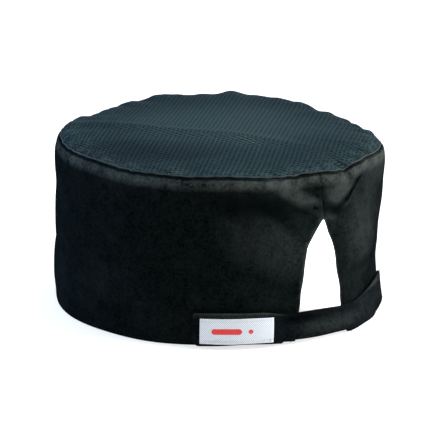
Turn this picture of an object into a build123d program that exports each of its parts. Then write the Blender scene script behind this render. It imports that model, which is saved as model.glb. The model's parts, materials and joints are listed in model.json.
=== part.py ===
from build123d import *

import os
from math import atan2, cos, degrees, radians, sin

# Chef's skull cap: a round flat-topped cap with a mesh crown, a stiffened side band, an arched rear
# opening and a hook-and-loop strap that draws the opening to size. +Z is up and the hem stands on
# z = 0. The wearer looks along -Y, the rear opening faces +Y, and +X is the wearer's left. The origin
# is the middle of the head opening, at the hem. Places along the wall are arc lengths on its outer
# face from the middle of the back, positive towards the wearer's left.

# Cap as a whole
wall_radius = 95.0  # outer face of the side band
wall_height = 95.0  # hem to crown seam
ply_gap = 0.1  # air between two sewn layers

# Side band and what lines it
band_ply = 0.8
interfacing_ply = 0.4
interfacing_hem_gap = 2.0
facing_ply = 0.4
facing_width = 10.0
lining_hem_gap = 0.5
sweatband_ply = 1.8
sweatband_height = 28.0
sweatband_border = 2.5  # thin stitched border along its top
border_ply = 0.5
back_seam_width = 0.5
back_seam_depth = 0.3

# Crown
crown_ply = 0.6
crown_rise = 6.5  # middle of the crown above the seam
shoulder_rise = 4.0  # edge of the flat top above the seam
shoulder_width = 6.0
shoulder_curve = (1 / 3, 0.7)  # a point on the shoulder, as shares of its width and rise
seam_allowance = 9.0
seam_tape_ply = 0.4
seam_tape_width = 9.5
seam_tape_drop = 1.0  # its top edge below the crown seam

# Rear opening
arch_point = 70.6  # where the two sides would meet
arch_tip_radius = 1.5
arch_half_width = 14.0  # at the waist
arch_middle_half_width = 11.2  # half-way from the waist to the point
arch_waist_height = 22.0
arch_waist_radius = 30.0
corner_window = 1.0  # height searched either side of the waist for its corners
arch_foot_half_width = 17.5
opening_turn_in = 1.2  # how far the interfacing stays back from the edge

# Strap
strap_width = 18.0
strap_hem_gap = 1.6
strap_ply = 0.5
strap_core_ply = 0.4
strap_free_end = 74.0
tab_fold = 26.5
anchor_fold = -70.0
sewn_end = -82.0
fold_gap = 0.4
arm_gap = 0.4  # between the arm and the wall, at the anchor

# Hook and loop tapes
tape_width = 14.0
tape_base_ply = 0.4
tape_border = 1.6
loop_pile = 0.8
hook_pile = 0.6
closure_gap = 0.3
loop_tape_length = 50.0
hook_tape_length = 40.0
tape_end_margin = 1.5

# Labels
label_length = 39.0
label_width = 14.6
label_ply = 0.5
label_end_margin = 3.9
care_label_width = 26.0
care_label_drop = 24.0
care_label_ply = 0.3
care_label_middle = -225.0

# Sewing thread
thread = 0.4
thread_gap = 0.05
edge_row_inset = 2.0
hem_row_height = 3.0
strap_row_inset = 1.0
tape_row_inset = 0.6
label_row_inset = 1.2
anchor_row_inset = 1.5
bartack_width = 12.0
bartack_height = 1.8
bartack_ply = 0.6

# Radii that follow, from the band inwards
band_inner = wall_radius - band_ply
interfacing_outer = band_inner - ply_gap
interfacing_inner = interfacing_outer - interfacing_ply
lining_outer = interfacing_inner - ply_gap
sweatband_inner = lining_outer - sweatband_ply
crown_outer = band_inner - ply_gap
crown_inner = crown_outer - crown_ply
seam_tape_outer = crown_inner - ply_gap
seam_tape_inner = seam_tape_outer - seam_tape_ply

# Radii that follow, from the band outwards
strap_thickness = 2 * strap_ply + strap_core_ply + 2 * ply_gap
loop_base_inner = wall_radius + ply_gap
loop_base_outer = loop_base_inner + tape_base_ply
loop_outer = loop_base_outer + loop_pile
hook_inner = loop_outer + closure_gap
hook_base_inner = hook_inner + hook_pile
hook_base_outer = hook_base_inner + tape_base_ply
tab_inner = hook_base_outer + ply_gap
tab_outer = tab_inner + strap_thickness
label_inner = tab_outer + ply_gap
label_outer = label_inner + label_ply
sewn_inner = wall_radius + ply_gap
sewn_outer = sewn_inner + strap_thickness

# Heights that follow
allowance_low = wall_height - seam_allowance
seam_tape_high = wall_height - seam_tape_drop
seam_tape_low = seam_tape_high - seam_tape_width
strap_low = strap_hem_gap
strap_high = strap_low + strap_width
tape_low = (strap_low + strap_high - tape_width) / 2
tape_high = tape_low + tape_width
label_low = (strap_low + strap_high - label_width) / 2
label_high = label_low + label_width
bartack_low = arch_point + edge_row_inset
loop_tape_start = strap_free_end - tape_end_margin
label_start = strap_free_end - label_end_margin

# The rear opening is drawn on a plane through the cap's axis and cut straight out to the back.
rear = Plane(origin=(0, 0, 0), x_dir=(-1, 0, 0), z_dir=(0, 1, 0))
rear_reach = 2 * wall_radius


def bearing(along):
    """Angle from +X, in degrees, of a place along the wall."""
    return 90 - degrees(along / wall_radius)


# The strap's arm leaves the tab along the wall and closes in on the wall on its way to the anchor,
# so its arc has a centre of its own, between the cap's axis and the tab fold.
arm_span = radians(bearing(anchor_fold) - bearing(tab_fold))
anchor_radius = wall_radius + arm_gap
arm_shift = (tab_inner**2 - anchor_radius**2) / (2 * (tab_inner - anchor_radius * cos(arm_span)))
arm_inner = tab_inner - arm_shift
arm_outer = arm_inner + strap_thickness
arm_centre = (
    arm_shift * cos(radians(bearing(tab_fold))),
    arm_shift * sin(radians(bearing(tab_fold))),
)
arm_sweep = degrees(atan2(anchor_radius * sin(arm_span), anchor_radius * cos(arm_span) - arm_shift))


def on_wall(start, end):
    """First angle and turn, in degrees, between two places along the wall."""
    return bearing(start), bearing(end) - bearing(start)


def on_arm(tab_inset, anchor_inset):
    """First angle and turn, about the arm's own centre, set in from its two folds."""
    first = bearing(tab_fold) + degrees(tab_inset / arm_inner)
    return first, arm_sweep - degrees((tab_inset + anchor_inset) / arm_inner)


def strip(inner, outer, span, low, high, centre=(0, 0), mode=Mode.ADD):
    """Adds a piece of a ring between two radii, over a span of angles and two heights."""
    first, turn = span
    with BuildSketch(Plane.XY.offset(low)) as profile:
        with BuildLine():
            far = CenterArc(centre, outer, first, turn)
            near = CenterArc(centre, inner, first, turn)
            Line(far @ 0, near @ 0)
            Line(far @ 1, near @ 1)
        make_face()
    extrude(profile.sketch, amount=high - low, mode=mode)


def ring(inner, outer, low, high, mode=Mode.ADD):
    """Adds a whole ring round the cap's axis."""
    with BuildSketch(Plane.XY.offset(low)) as profile:
        Circle(outer)
        Circle(inner, mode=Mode.SUBTRACT)
    extrude(profile.sketch, amount=high - low, mode=mode)


def row_round(inner, start, end, low, high, inset):
    """Adds one row of thread round a patch on the wall, set in from its four edges."""
    outer = inner + thread
    start, end = start - inset, end + inset
    low, high = low + inset, high - inset
    for row in (low, high - thread):
        strip(inner, outer, on_wall(start, end), row, row + thread)
    for edge in (start, end + thread):
        strip(inner, outer, on_wall(edge, edge - thread), low, high)


def opening_outline(grow=0.0, mode=Mode.ADD):
    """Sketches the rear opening, grown all round. Its foot stands well below the hem."""
    foot = -edge_row_inset - facing_width
    half_way = (arch_waist_height + arch_point) / 2
    with BuildSketch(mode=Mode.PRIVATE) as outline:
        with BuildLine():
            Polyline(
                (0, foot),
                (arch_foot_half_width, foot),
                (arch_foot_half_width, 0),
                (arch_half_width, arch_waist_height),
            )
            ThreePointArc(
                (arch_half_width, arch_waist_height),
                (arch_middle_half_width, half_way),
                (0, arch_point),
            )
            mirror(about=Plane.YZ)
        make_face()
        fillet(outline.vertices().sort_by(Axis.Y)[-1], arch_tip_radius)
        waist = outline.vertices().filter_by_position(
            Axis.Y, arch_waist_height - corner_window, arch_waist_height + corner_window
        )
        fillet(waist, arch_waist_radius)
        if grow:
            offset(amount=grow, kind=Kind.ARC)
    add(outline.sketch_local, mode=mode)


def cut_opening(grow=0.0):
    """Cuts the rear opening, grown all round, out of the piece being built."""
    with BuildSketch(rear) as outline:
        opening_outline(grow)
    extrude(outline.sketch, amount=rear_reach, mode=Mode.SUBTRACT)


def keep_round_opening(near, far):
    """Keeps only what lies between two growths of the rear opening."""
    with BuildSketch(rear) as outline:
        opening_outline(far)
        opening_outline(near, mode=Mode.SUBTRACT)
    extrude(outline.sketch, amount=rear_reach, mode=Mode.INTERSECT)


def close_tape(inner, base_inner, outer, start, length, mode=Mode.ADD):
    """Adds a hook or loop tape: a woven base, and a pile that stops short of the base's edges."""
    base_outer = base_inner + tape_base_ply
    strip(base_inner, base_outer, on_wall(start, start - length), tape_low, tape_high)
    strip(
        inner,
        outer,
        on_wall(start - tape_border, start - length + tape_border),
        tape_low + tape_border,
        tape_high - tape_border,
    )


# The cap: everything sewn to the side band

with BuildPart() as crown_panel:
    flat_edge = (crown_outer - shoulder_width, wall_height + shoulder_rise)
    shoulder = (
        crown_outer - shoulder_width * shoulder_curve[0],
        wall_height + shoulder_rise * shoulder_curve[1],
    )
    with BuildSketch(Plane.XZ):
        with BuildLine():
            allowance = Line((crown_outer, allowance_low), (crown_outer, wall_height))
            TangentArc((0, wall_height + crown_rise), flat_edge, tangent=(1, 0))
            ThreePointArc(flat_edge, shoulder, allowance @ 1)
            offset(amount=crown_ply, side=Side.LEFT, closed=True, kind=Kind.INTERSECTION)
        make_face()
    revolve(axis=Axis.Z)
crown_panel.part.label = "crown_panel"

with BuildPart() as side_band:
    ring(band_inner, wall_radius, 0, wall_height)
    cut_opening()
    half_seam = back_seam_width / 2
    strip(
        wall_radius - back_seam_depth,
        wall_radius + back_seam_depth,
        on_wall(half_seam, -half_seam),
        arch_waist_height,
        wall_height,
        mode=Mode.SUBTRACT,
    )
side_band.part.label = "side_band"

with BuildPart() as band_interfacing:
    ring(interfacing_inner, interfacing_outer, interfacing_hem_gap, allowance_low - ply_gap)
    cut_opening(opening_turn_in)
band_interfacing.part.label = "band_interfacing"

with BuildPart() as opening_facing:
    ring(lining_outer - facing_ply, lining_outer, lining_hem_gap, seam_tape_low - ply_gap)
    keep_round_opening(0, facing_width)
opening_facing.part.label = "opening_facing"

with BuildPart() as sweatband:
    border_low = lining_hem_gap + sweatband_height - sweatband_border
    ring(sweatband_inner, lining_outer, lining_hem_gap, border_low)
    ring(lining_outer - border_ply, lining_outer, border_low, border_low + sweatband_border)
    cut_opening(facing_width + ply_gap)
sweatband.part.label = "sweatband"

with BuildPart() as crown_seam_tape:
    ring(seam_tape_inner, seam_tape_outer, seam_tape_low, seam_tape_high)
crown_seam_tape.part.label = "crown_seam_tape"

with BuildPart() as care_label:
    half_width = care_label_width / 2
    care_label_high = seam_tape_low - 2 * ply_gap
    strip(
        lining_outer - care_label_ply,
        lining_outer,
        on_wall(care_label_middle + half_width, care_label_middle - half_width),
        care_label_high - care_label_drop,
        care_label_high,
    )
care_label.part.label = "care_label"

with BuildPart() as loop_tape:
    close_tape(loop_base_inner, loop_base_inner, loop_outer, loop_tape_start, loop_tape_length)
loop_tape.part.label = "loop_tape"

with BuildPart() as strap_sewn_end:
    strip(
        sewn_inner,
        sewn_outer,
        on_wall(anchor_fold - fold_gap, sewn_end),
        strap_low,
        strap_high,
    )
strap_sewn_end.part.label = "strap_sewn_end"

# Thread on the cap

with BuildPart() as hem_stitches:
    row_outer = wall_radius + thread_gap + thread
    ring(row_outer - thread, row_outer, hem_row_height, hem_row_height + thread)
    strip(
        wall_radius,
        row_outer + thread,
        on_wall(strap_free_end + edge_row_inset, sewn_end - edge_row_inset),
        0,
        2 * hem_row_height,
        mode=Mode.SUBTRACT,
    )
hem_stitches.part.label = "hem_stitches"

with BuildPart() as opening_stitches:
    ring(wall_radius + thread_gap, wall_radius + thread_gap + thread, 0, arch_point + facing_width)
    keep_round_opening(edge_row_inset, edge_row_inset + thread)
opening_stitches.part.label = "opening_stitches"

with BuildPart() as bartack:
    strip(
        wall_radius + thread_gap,
        wall_radius + thread_gap + bartack_ply,
        on_wall(bartack_width / 2, -bartack_width / 2),
        bartack_low,
        bartack_low + bartack_height,
    )
bartack.part.label = "bartack"

with BuildPart() as loop_tape_stitches:
    row_round(
        loop_base_outer + thread_gap,
        loop_tape_start,
        loop_tape_start - loop_tape_length,
        tape_low,
        tape_high,
        tape_row_inset,
    )
loop_tape_stitches.part.label = "loop_tape_stitches"

with BuildPart() as anchor_stitches:
    row_round(
        sewn_outer + thread_gap,
        anchor_fold - fold_gap,
        sewn_end,
        strap_low,
        strap_high,
        anchor_row_inset,
    )
anchor_stitches.part.label = "anchor_stitches"

with BuildPart() as sweatband_stitches:
    row_outer = lining_outer - border_ply - thread_gap
    row_low = border_low + sweatband_border / 2
    ring(row_outer - thread, row_outer, row_low, row_low + thread)
    cut_opening(facing_width + edge_row_inset)
sweatband_stitches.part.label = "sweatband_stitches"

with BuildPart() as seam_tape_stitches:
    row_outer = seam_tape_inner - thread_gap
    for row_low in (seam_tape_low + tape_row_inset, seam_tape_high - tape_row_inset - thread):
        ring(row_outer - thread, row_outer, row_low, row_low + thread)
seam_tape_stitches.part.label = "seam_tape_stitches"

# The strap's arm, which swings out from the anchor fold

with BuildPart() as strap_arm:
    strip(arm_inner, arm_outer, on_arm(fold_gap, 0), strap_low, strap_high, arm_centre)
    strip(
        arm_inner + strap_ply,
        arm_outer - strap_ply,
        on_arm(0, strap_ply),
        strap_low + strap_ply,
        strap_high - strap_ply,
        arm_centre,
        mode=Mode.SUBTRACT,
    )
strap_arm.part.label = "strap_arm"

with BuildPart() as arm_core:
    core_inset = strap_ply + ply_gap
    strip(
        arm_inner + core_inset,
        arm_outer - core_inset,
        on_arm(fold_gap + ply_gap, core_inset),
        strap_low + core_inset,
        strap_high - core_inset,
        arm_centre,
    )
arm_core.part.label = "arm_core"

with BuildPart() as arm_edge_stitches:
    row_inner = arm_outer + thread_gap
    for row_low in (strap_low + strap_row_inset, strap_high - strap_row_inset - thread):
        strip(
            row_inner,
            row_inner + thread,
            on_arm(fold_gap + strap_row_inset, strap_row_inset),
            row_low,
            row_low + thread,
            arm_centre,
        )
arm_edge_stitches.part.label = "arm_edge_stitches"

# The strap's free end, which peels off the loop tape from the tab fold

with BuildPart() as strap_tab:
    strip(tab_inner, tab_outer, on_wall(strap_free_end, tab_fold), strap_low, strap_high)
    strip(
        tab_inner + strap_ply,
        tab_outer - strap_ply,
        on_wall(strap_free_end - strap_ply, tab_fold - fold_gap),
        strap_low + strap_ply,
        strap_high - strap_ply,
        mode=Mode.SUBTRACT,
    )
strap_tab.part.label = "strap_tab"

with BuildPart() as tab_core:
    strip(
        tab_inner + core_inset,
        tab_outer - core_inset,
        on_wall(strap_free_end - core_inset, tab_fold + ply_gap),
        strap_low + core_inset,
        strap_high - core_inset,
    )
tab_core.part.label = "tab_core"

with BuildPart() as hook_tape:
    close_tape(hook_inner, hook_base_inner, hook_base_outer, loop_tape_start, hook_tape_length)
hook_tape.part.label = "hook_tape"

with BuildPart() as hook_tape_stitches:
    row_round(
        hook_base_inner - thread_gap - thread,
        loop_tape_start,
        loop_tape_start - hook_tape_length,
        tape_low,
        tape_high,
        tape_row_inset,
    )
hook_tape_stitches.part.label = "hook_tape_stitches"

with BuildPart() as woven_label:
    label_end = label_start - label_length
    strip(label_inner, label_outer, on_wall(label_start, label_end), label_low, label_high)
woven_label.part.label = "woven_label"

with BuildPart() as label_stitches:
    row_round(
        label_outer + thread_gap, label_start, label_end, label_low, label_high, label_row_inset
    )
label_stitches.part.label = "label_stitches"

with BuildPart() as tab_edge_stitches:
    row_round(
        tab_outer + thread_gap,
        strap_free_end,
        tab_fold,
        strap_low,
        strap_high,
        strap_row_inset,
    )
tab_edge_stitches.part.label = "tab_edge_stitches"

pieces = [
    crown_panel,
    side_band,
    band_interfacing,
    opening_facing,
    sweatband,
    crown_seam_tape,
    care_label,
    loop_tape,
    strap_sewn_end,
    hem_stitches,
    opening_stitches,
    bartack,
    loop_tape_stitches,
    anchor_stitches,
    sweatband_stitches,
    seam_tape_stitches,
    strap_arm,
    arm_core,
    arm_edge_stitches,
    strap_tab,
    tab_core,
    hook_tape,
    hook_tape_stitches,
    woven_label,
    label_stitches,
    tab_edge_stitches,
]

os.makedirs("parts", exist_ok=True)
for piece in pieces:
    export_step(piece.part, f"parts/{piece.part.label}.step")

# Hinge lines, upright, on the strap's outer face
anchor_bearing = radians(bearing(tab_fold) + arm_sweep)
tab_bearing = radians(bearing(tab_fold))
print(
    "anchor hinge",
    arm_centre[0] + arm_outer * cos(anchor_bearing),
    arm_centre[1] + arm_outer * sin(anchor_bearing),
)
print("tab hinge", tab_outer * cos(tab_bearing), tab_outer * sin(tab_bearing))
print("head opening", sweatband_inner, "long", border_low - lining_hem_gap)
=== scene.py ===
import json
import math

import bmesh
import bpy
import numpy as np
from mathutils import Matrix, Vector

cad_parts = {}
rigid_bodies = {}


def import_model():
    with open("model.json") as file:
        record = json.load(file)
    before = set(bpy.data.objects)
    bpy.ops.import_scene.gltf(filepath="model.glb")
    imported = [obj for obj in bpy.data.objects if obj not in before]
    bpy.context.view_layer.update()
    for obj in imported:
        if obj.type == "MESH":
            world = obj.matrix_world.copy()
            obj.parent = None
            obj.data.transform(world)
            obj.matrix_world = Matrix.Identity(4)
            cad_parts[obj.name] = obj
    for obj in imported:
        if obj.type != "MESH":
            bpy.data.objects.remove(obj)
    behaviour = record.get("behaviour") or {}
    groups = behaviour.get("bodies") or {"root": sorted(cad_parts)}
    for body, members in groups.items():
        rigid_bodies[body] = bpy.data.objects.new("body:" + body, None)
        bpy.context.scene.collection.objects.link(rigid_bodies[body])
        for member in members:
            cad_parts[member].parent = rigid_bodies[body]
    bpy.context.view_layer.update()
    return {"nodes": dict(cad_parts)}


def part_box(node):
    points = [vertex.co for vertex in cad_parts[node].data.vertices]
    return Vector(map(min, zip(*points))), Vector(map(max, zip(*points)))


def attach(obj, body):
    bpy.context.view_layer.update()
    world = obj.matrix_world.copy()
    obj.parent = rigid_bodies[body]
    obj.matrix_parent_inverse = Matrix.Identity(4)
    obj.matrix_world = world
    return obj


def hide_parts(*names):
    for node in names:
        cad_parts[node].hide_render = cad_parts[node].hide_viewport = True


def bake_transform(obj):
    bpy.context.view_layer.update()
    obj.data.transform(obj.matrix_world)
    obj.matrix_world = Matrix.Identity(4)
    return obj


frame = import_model()
print("frame loaded:", len(frame["nodes"]), "CAD nodes")

mm = 0.001
bandLow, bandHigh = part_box("side_band")
wallRadius = bandHigh.x
wallHeight = bandHigh.z
girth = 2 * math.pi * wallRadius

# Places on the wall are arc lengths from the middle of the back, + towards the wearer's left,
# and heights over the hem. The cloth's own angle is arc length over wallRadius.

capShape = {
    "hemFlare": 0.9 * mm,  # the hem stands a little wider than the crown seam
    "leanIn": 4.6 * mm,  # the side beside the strap's anchor sags inwards
    "leanAngle": -0.98,
    "leanWidth": 0.48,
    "leanHeight": 34 * mm,
    "foldDepth": 0.7 * mm,
    "puckerDepth": 0.5 * mm,
    "puckerReach": 9 * mm,
    "tuckAngles": (0.176, -0.206),  # two tucks in the crown seam, either side of the back seam
    "tuckDrops": (1.3 * mm, 3.9 * mm),
    "tuckWidth": 3.6 * mm,
    "tuckSlant": (0.2, 0.55),  # each tuck's fold runs down and to the wearer's left
    "seamRipple": 0.35 * mm,
    "sags": ((-1.36, 0.56, 6.0 * mm), (2.80, 0.42, 3.4 * mm)),  # where the crown's rim hangs low
    "shoulder": 1.9 * mm,  # the wall rounds in under the crown seam
    "shoulderTall": 9.0 * mm,
    "hemLift": 1.5 * mm,  # the hem is drawn up under the strap's tab
    "hemLiftAt": 44.0 * mm,
    "hemLiftWide": 24.0 * mm,
    # the hem turns out under the strap's arm: place, width and reach of each turn
    "hemKicks": (
        (-41 * mm, 17 * mm, 3.8 * mm),
        (-20 * mm, 12 * mm, 5.2 * mm),
        (150 * mm, 26 * mm, 1.8 * mm),
    ),
    "seamSlant": 2.9 * mm,  # the back seam leans as it climbs from the opening
    # soft dents: place, height, slant, depth, width and height of each
    "dents": (
        (-26 * mm, 78 * mm, 0.9, 2.4 * mm, 16 * mm, 4.5 * mm),
        (-44 * mm, 62 * mm, 0.5, 1.4 * mm, 15 * mm, 5.0 * mm),
        (24 * mm, 66 * mm, -0.8, 2.0 * mm, 18 * mm, 5.5 * mm),
        (70 * mm, 58 * mm, 0.5, 0.9 * mm, 24 * mm, 7.0 * mm),
        (108 * mm, 76 * mm, -0.4, 0.8 * mm, 26 * mm, 7.0 * mm),
        (44 * mm, 34 * mm, 0.2, 0.8 * mm, 30 * mm, 6.0 * mm),
    ),
    "seed": 7,
}

opening = {
    "footHalf": 17.5 * mm,
    "waistHalf": 14.0 * mm,
    "middleHalf": 11.2 * mm,
    "waistHeight": 22.0 * mm,
    "point": 70.6 * mm,
    "tip": 69.4 * mm,
}

strapShape = {
    "low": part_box("strap_tab")[0].z,
    "high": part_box("strap_tab")[1].z,
    "thick": 1.6 * mm,
    "tabInner": 97.7 * mm,
    "anchorInner": 95.4 * mm,
    "freeEnd": 74.0 * mm,
    "tabFold": 26.5 * mm,
    "anchorFold": -70.0 * mm,
    "sewnEnd": -82.0 * mm,
    "join": -25.0 * mm,  # where the two halves meet
    "bendLength": 8.0 * mm,
    "rowInset": 1.3 * mm,
    "flare": 2.4 * mm,  # the lower edge stands out beside the anchor
    "flareAt": -64.0 * mm,
    "flareWide": 13.0 * mm,
}


def ease(x):
    x = np.clip(x, 0, 1)
    return x * x * (3 - 2 * x)


def bell(x, width):
    return np.exp(-((x / width) ** 2))


def ripples(angle, seed, low, high, count=6):
    # a closed wavy line round the cap, made of whole waves, mostly between -1 and 1
    draw = np.random.default_rng(seed)
    total = 0
    for wave in draw.integers(low, high + 1, count):
        total = total + np.cos(wave * angle + draw.uniform(0, 2 * math.pi))
    return total / math.sqrt(count)


def wrap(angle):
    return (angle + math.pi) % (2 * math.pi) - math.pi


def seamLift(angle):
    # how far the crown seam leaves its level, with a sharp dip at each tuck
    s = capShape
    lift = s["seamRipple"] * ripples(angle, s["seed"] + 1, 5, 16)
    wrapped = wrap(angle)
    for tuck, drop in zip(s["tuckAngles"], s["tuckDrops"]):
        aside = (wrapped - tuck) * wallRadius
        lift = lift - 0.60 * drop * bell(aside, s["tuckWidth"])
        lift = lift - 0.40 * drop * bell(aside - 1.8 * s["tuckWidth"], 3.0 * s["tuckWidth"])
    return lift


def rimSag(angle):
    drop = 0
    for middle, width, deep in capShape["sags"]:
        drop = drop + deep * bell(wrap(angle - middle), width)
    return drop


def wallShift(angle, z):
    # how far the wall stands out from its cylinder, + outwards
    s = capShape
    wrapped = wrap(angle)
    up = np.clip(z / wallHeight, 0, 1)
    below = np.maximum(wallHeight - z, 0)
    shift = s["hemFlare"] * (1 - up)
    shift = shift - s["shoulder"] * np.clip(1 - below / s["shoulderTall"], 0, 1) ** 2
    sag = bell(z - s["leanHeight"], 34 * mm) * ease(below / (25 * mm))
    shift = shift - s["leanIn"] * bell(wrapped - s["leanAngle"], s["leanWidth"]) * sag
    drift = 0.25 * np.sin(z / (11 * mm))
    folds = ripples(angle + drift, s["seed"] + 2, 4, 13)
    shift = shift + s["foldDepth"] * folds * (0.35 + 0.65 * ease(below / (40 * mm)))
    near = np.exp(-below / s["puckerReach"])
    puckers = ripples(angle, s["seed"] + 3, 34, 78, 9)
    shift = shift + s["puckerDepth"] * near * puckers * 0.6
    for tuck, drop, slant in zip(s["tuckAngles"], s["tuckDrops"], s["tuckSlant"]):
        reach = np.exp(-below / (15 * mm))
        aside = (wrapped - tuck) * wallRadius - slant * below
        fan = s["tuckWidth"] * (1.3 + below / (6 * mm))
        shift = shift - (0.4 * mm + 0.32 * drop) * reach * bell(aside, fan)
        shift = shift + 0.28 * drop * reach * bell(np.abs(aside) - 2.2 * fan, fan)
    crease = bell(z - opening["tip"] - 4 * mm - 0.16 * np.abs(wrapped) * wallRadius, 2.2 * mm)
    shift = shift - 0.5 * mm * crease * bell(wrapped * wallRadius, 15 * mm)
    for place, level, slant, deep, wide, tall in s["dents"]:
        across = wrapped * wallRadius - place
        drop = z - level + slant * across
        shift = shift - deep * bell(drop, tall) * bell(across, wide)
    panel = bell(wrapped * wallRadius + 42 * mm, 22 * mm)
    shift = shift - 0.45 * mm * panel * bell(z - 35 * mm, 1.8 * mm)
    shift = shift - 0.5 * mm * panel * ease((35 * mm - z) / (8 * mm)) * ease(z / (20 * mm))
    foot = np.clip(1 - z / (14 * mm), 0, 1) ** 1.5
    for place, wide, out in s["hemKicks"]:
        shift = shift + out * foot * bell(wrapped * wallRadius - place, wide)
    return shift


def wallLift(angle, z):
    # how far the wall is drawn up or hangs low at a height
    s = capShape
    up = np.clip(z / wallHeight, 0, 1.2)
    hem = s["hemLift"] * bell(wrap(angle) * wallRadius - s["hemLiftAt"], s["hemLiftWide"])
    return (seamLift(angle) - rimSag(angle)) * up**3 + hem * np.clip(1 - up, 0, 1) ** 2


def onWall(along, z, depth):
    # a point of the wall's stack of layers, depth inwards from the outer face
    along, z, depth = np.broadcast_arrays(along, z, depth)
    angle = along / wallRadius
    radius = wallRadius + wallShift(angle, z) - depth
    return np.stack([radius * np.sin(angle), radius * np.cos(angle), z + wallLift(angle, z)], -1)


def archHalf(z, grow=0.0):
    # half the rear opening's width at a height, and 0 over its tip
    s = opening
    half = (s["waistHeight"] + s["point"]) / 2
    x0, y0, x1, y1, y2 = s["waistHalf"], s["waistHeight"], s["middleHalf"], half, s["point"]
    system = np.array([[2 * x0, 2 * y0, 1], [2 * x1, 2 * y1, 1], [0, 2 * y2, 1]])
    squares = np.array([x0**2 + y0**2, x1**2 + y1**2, y2**2])
    cx, cy, rest = np.linalg.solve(system, squares)
    arc = math.sqrt(rest + cx**2 + cy**2) + grow
    side = cx + np.sqrt(np.maximum(arc**2 - (z - cy) ** 2, 0))
    foot = s["waistHalf"] + (s["footHalf"] - s["waistHalf"]) * (1 - z / s["waistHeight"]) + grow
    return np.where(z < s["waistHeight"], foot, np.maximum(side, 0))


# Mesh helpers


def newObject(name, mesh):
    piece = bpy.data.objects.new(name, mesh)
    bpy.context.scene.collection.objects.link(piece)
    return piece


def gridPiece(name, points, uv, closed=False):
    # a sheet of quads from rows of points, with a UV map in metres of cloth
    rows, columns = points.shape[:2]
    index = np.arange(rows * columns).reshape(rows, columns)
    if closed:
        index = np.vstack([index, index[:1]])
    quads = np.stack([index[:-1, :-1], index[1:, :-1], index[1:, 1:], index[:-1, 1:]], -1)
    quads = quads.reshape(-1, 4)
    flat = uv.reshape(-1, 2)
    mesh = bpy.data.meshes.new(name)
    mesh.from_pydata(points.reshape(-1, 3).tolist(), [], quads.tolist())
    layer = mesh.uv_layers.new(name="cloth")
    corner = flat[quads.reshape(-1)]
    if closed:  # the last row of quads closes the ring, and its cloth goes on past the end
        last = (rows - 1) * (columns - 1) * 4
        step = flat[columns, 0] - flat[0, 0]
        wrapped = quads.reshape(-1)[last:] < columns
        corner[last:][wrapped, 0] += rows * step
    layer.data.foreach_set("uv", corner.astype(np.float32).ravel())
    mesh.validate()
    return newObject(name, mesh)


def weld(piece, distance=0.02 * mm):
    work = bmesh.new()
    work.from_mesh(piece.data)
    bmesh.ops.remove_doubles(work, verts=work.verts, dist=distance)
    bmesh.ops.recalc_face_normals(work, faces=work.faces)
    work.to_mesh(piece.data)
    work.free()


def bake(piece):
    # the modifiers' result becomes the piece's own mesh
    graph = bpy.context.evaluated_depsgraph_get()
    made = bpy.data.meshes.new_from_object(piece.evaluated_get(graph), depsgraph=graph)
    made.name = piece.name
    piece.modifiers.clear()
    piece.data = made
    return piece


def thicken(piece, thick, soften=0.0):
    solid = piece.modifiers.new("ply", "SOLIDIFY")
    solid.thickness = thick
    solid.offset = -1
    solid.use_even_offset = False
    if soften:
        edge = piece.modifiers.new("fold", "BEVEL")
        edge.width = soften
        edge.segments = 2
        edge.limit_method = "ANGLE"
        edge.angle_limit = math.radians(60)
    return bake(piece)


def finishPiece(piece, material, nodes, body=None):
    # smooth shading, finish, slot, the nodes it stands for, and the body it rides on
    piece.data.materials.clear()
    piece.data.materials.append(material)
    piece.data.shade_smooth()
    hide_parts(*nodes)
    if body:
        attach(piece, body)
    return piece


# Shader helpers


class Wire:
    # one socket of a material's node tree, on which plain arithmetic adds Math nodes
    def __init__(self, surface, socket):
        self.surface, self.socket = surface, socket

    def maths(self, operation, first, second=0.0):
        values = {0: first, 1: second}
        return self.surface.add("ShaderNodeMath", {"operation": operation}, values)

    def __add__(self, other):
        return self.maths("ADD", self, other)

    def __radd__(self, other):
        return self.maths("ADD", other, self)

    def __sub__(self, other):
        return self.maths("SUBTRACT", self, other)

    def __rsub__(self, other):
        return self.maths("SUBTRACT", other, self)

    def __mul__(self, other):
        return self.maths("MULTIPLY", self, other)

    def __rmul__(self, other):
        return self.maths("MULTIPLY", other, self)

    def __truediv__(self, other):
        return self.maths("DIVIDE", self, other)

    def __gt__(self, other):
        return self.maths("GREATER_THAN", self, other)

    def __lt__(self, other):
        return self.maths("LESS_THAN", self, other)

    def sine(self):
        return self.maths("SINE", self)

    def size(self):
        return self.maths("ABSOLUTE", self)

    def power(self, other):
        return self.maths("POWER", self, other)

    def most(self, other):
        return self.maths("MAXIMUM", self, other)

    def least(self, other):
        return self.maths("MINIMUM", self, other)


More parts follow.
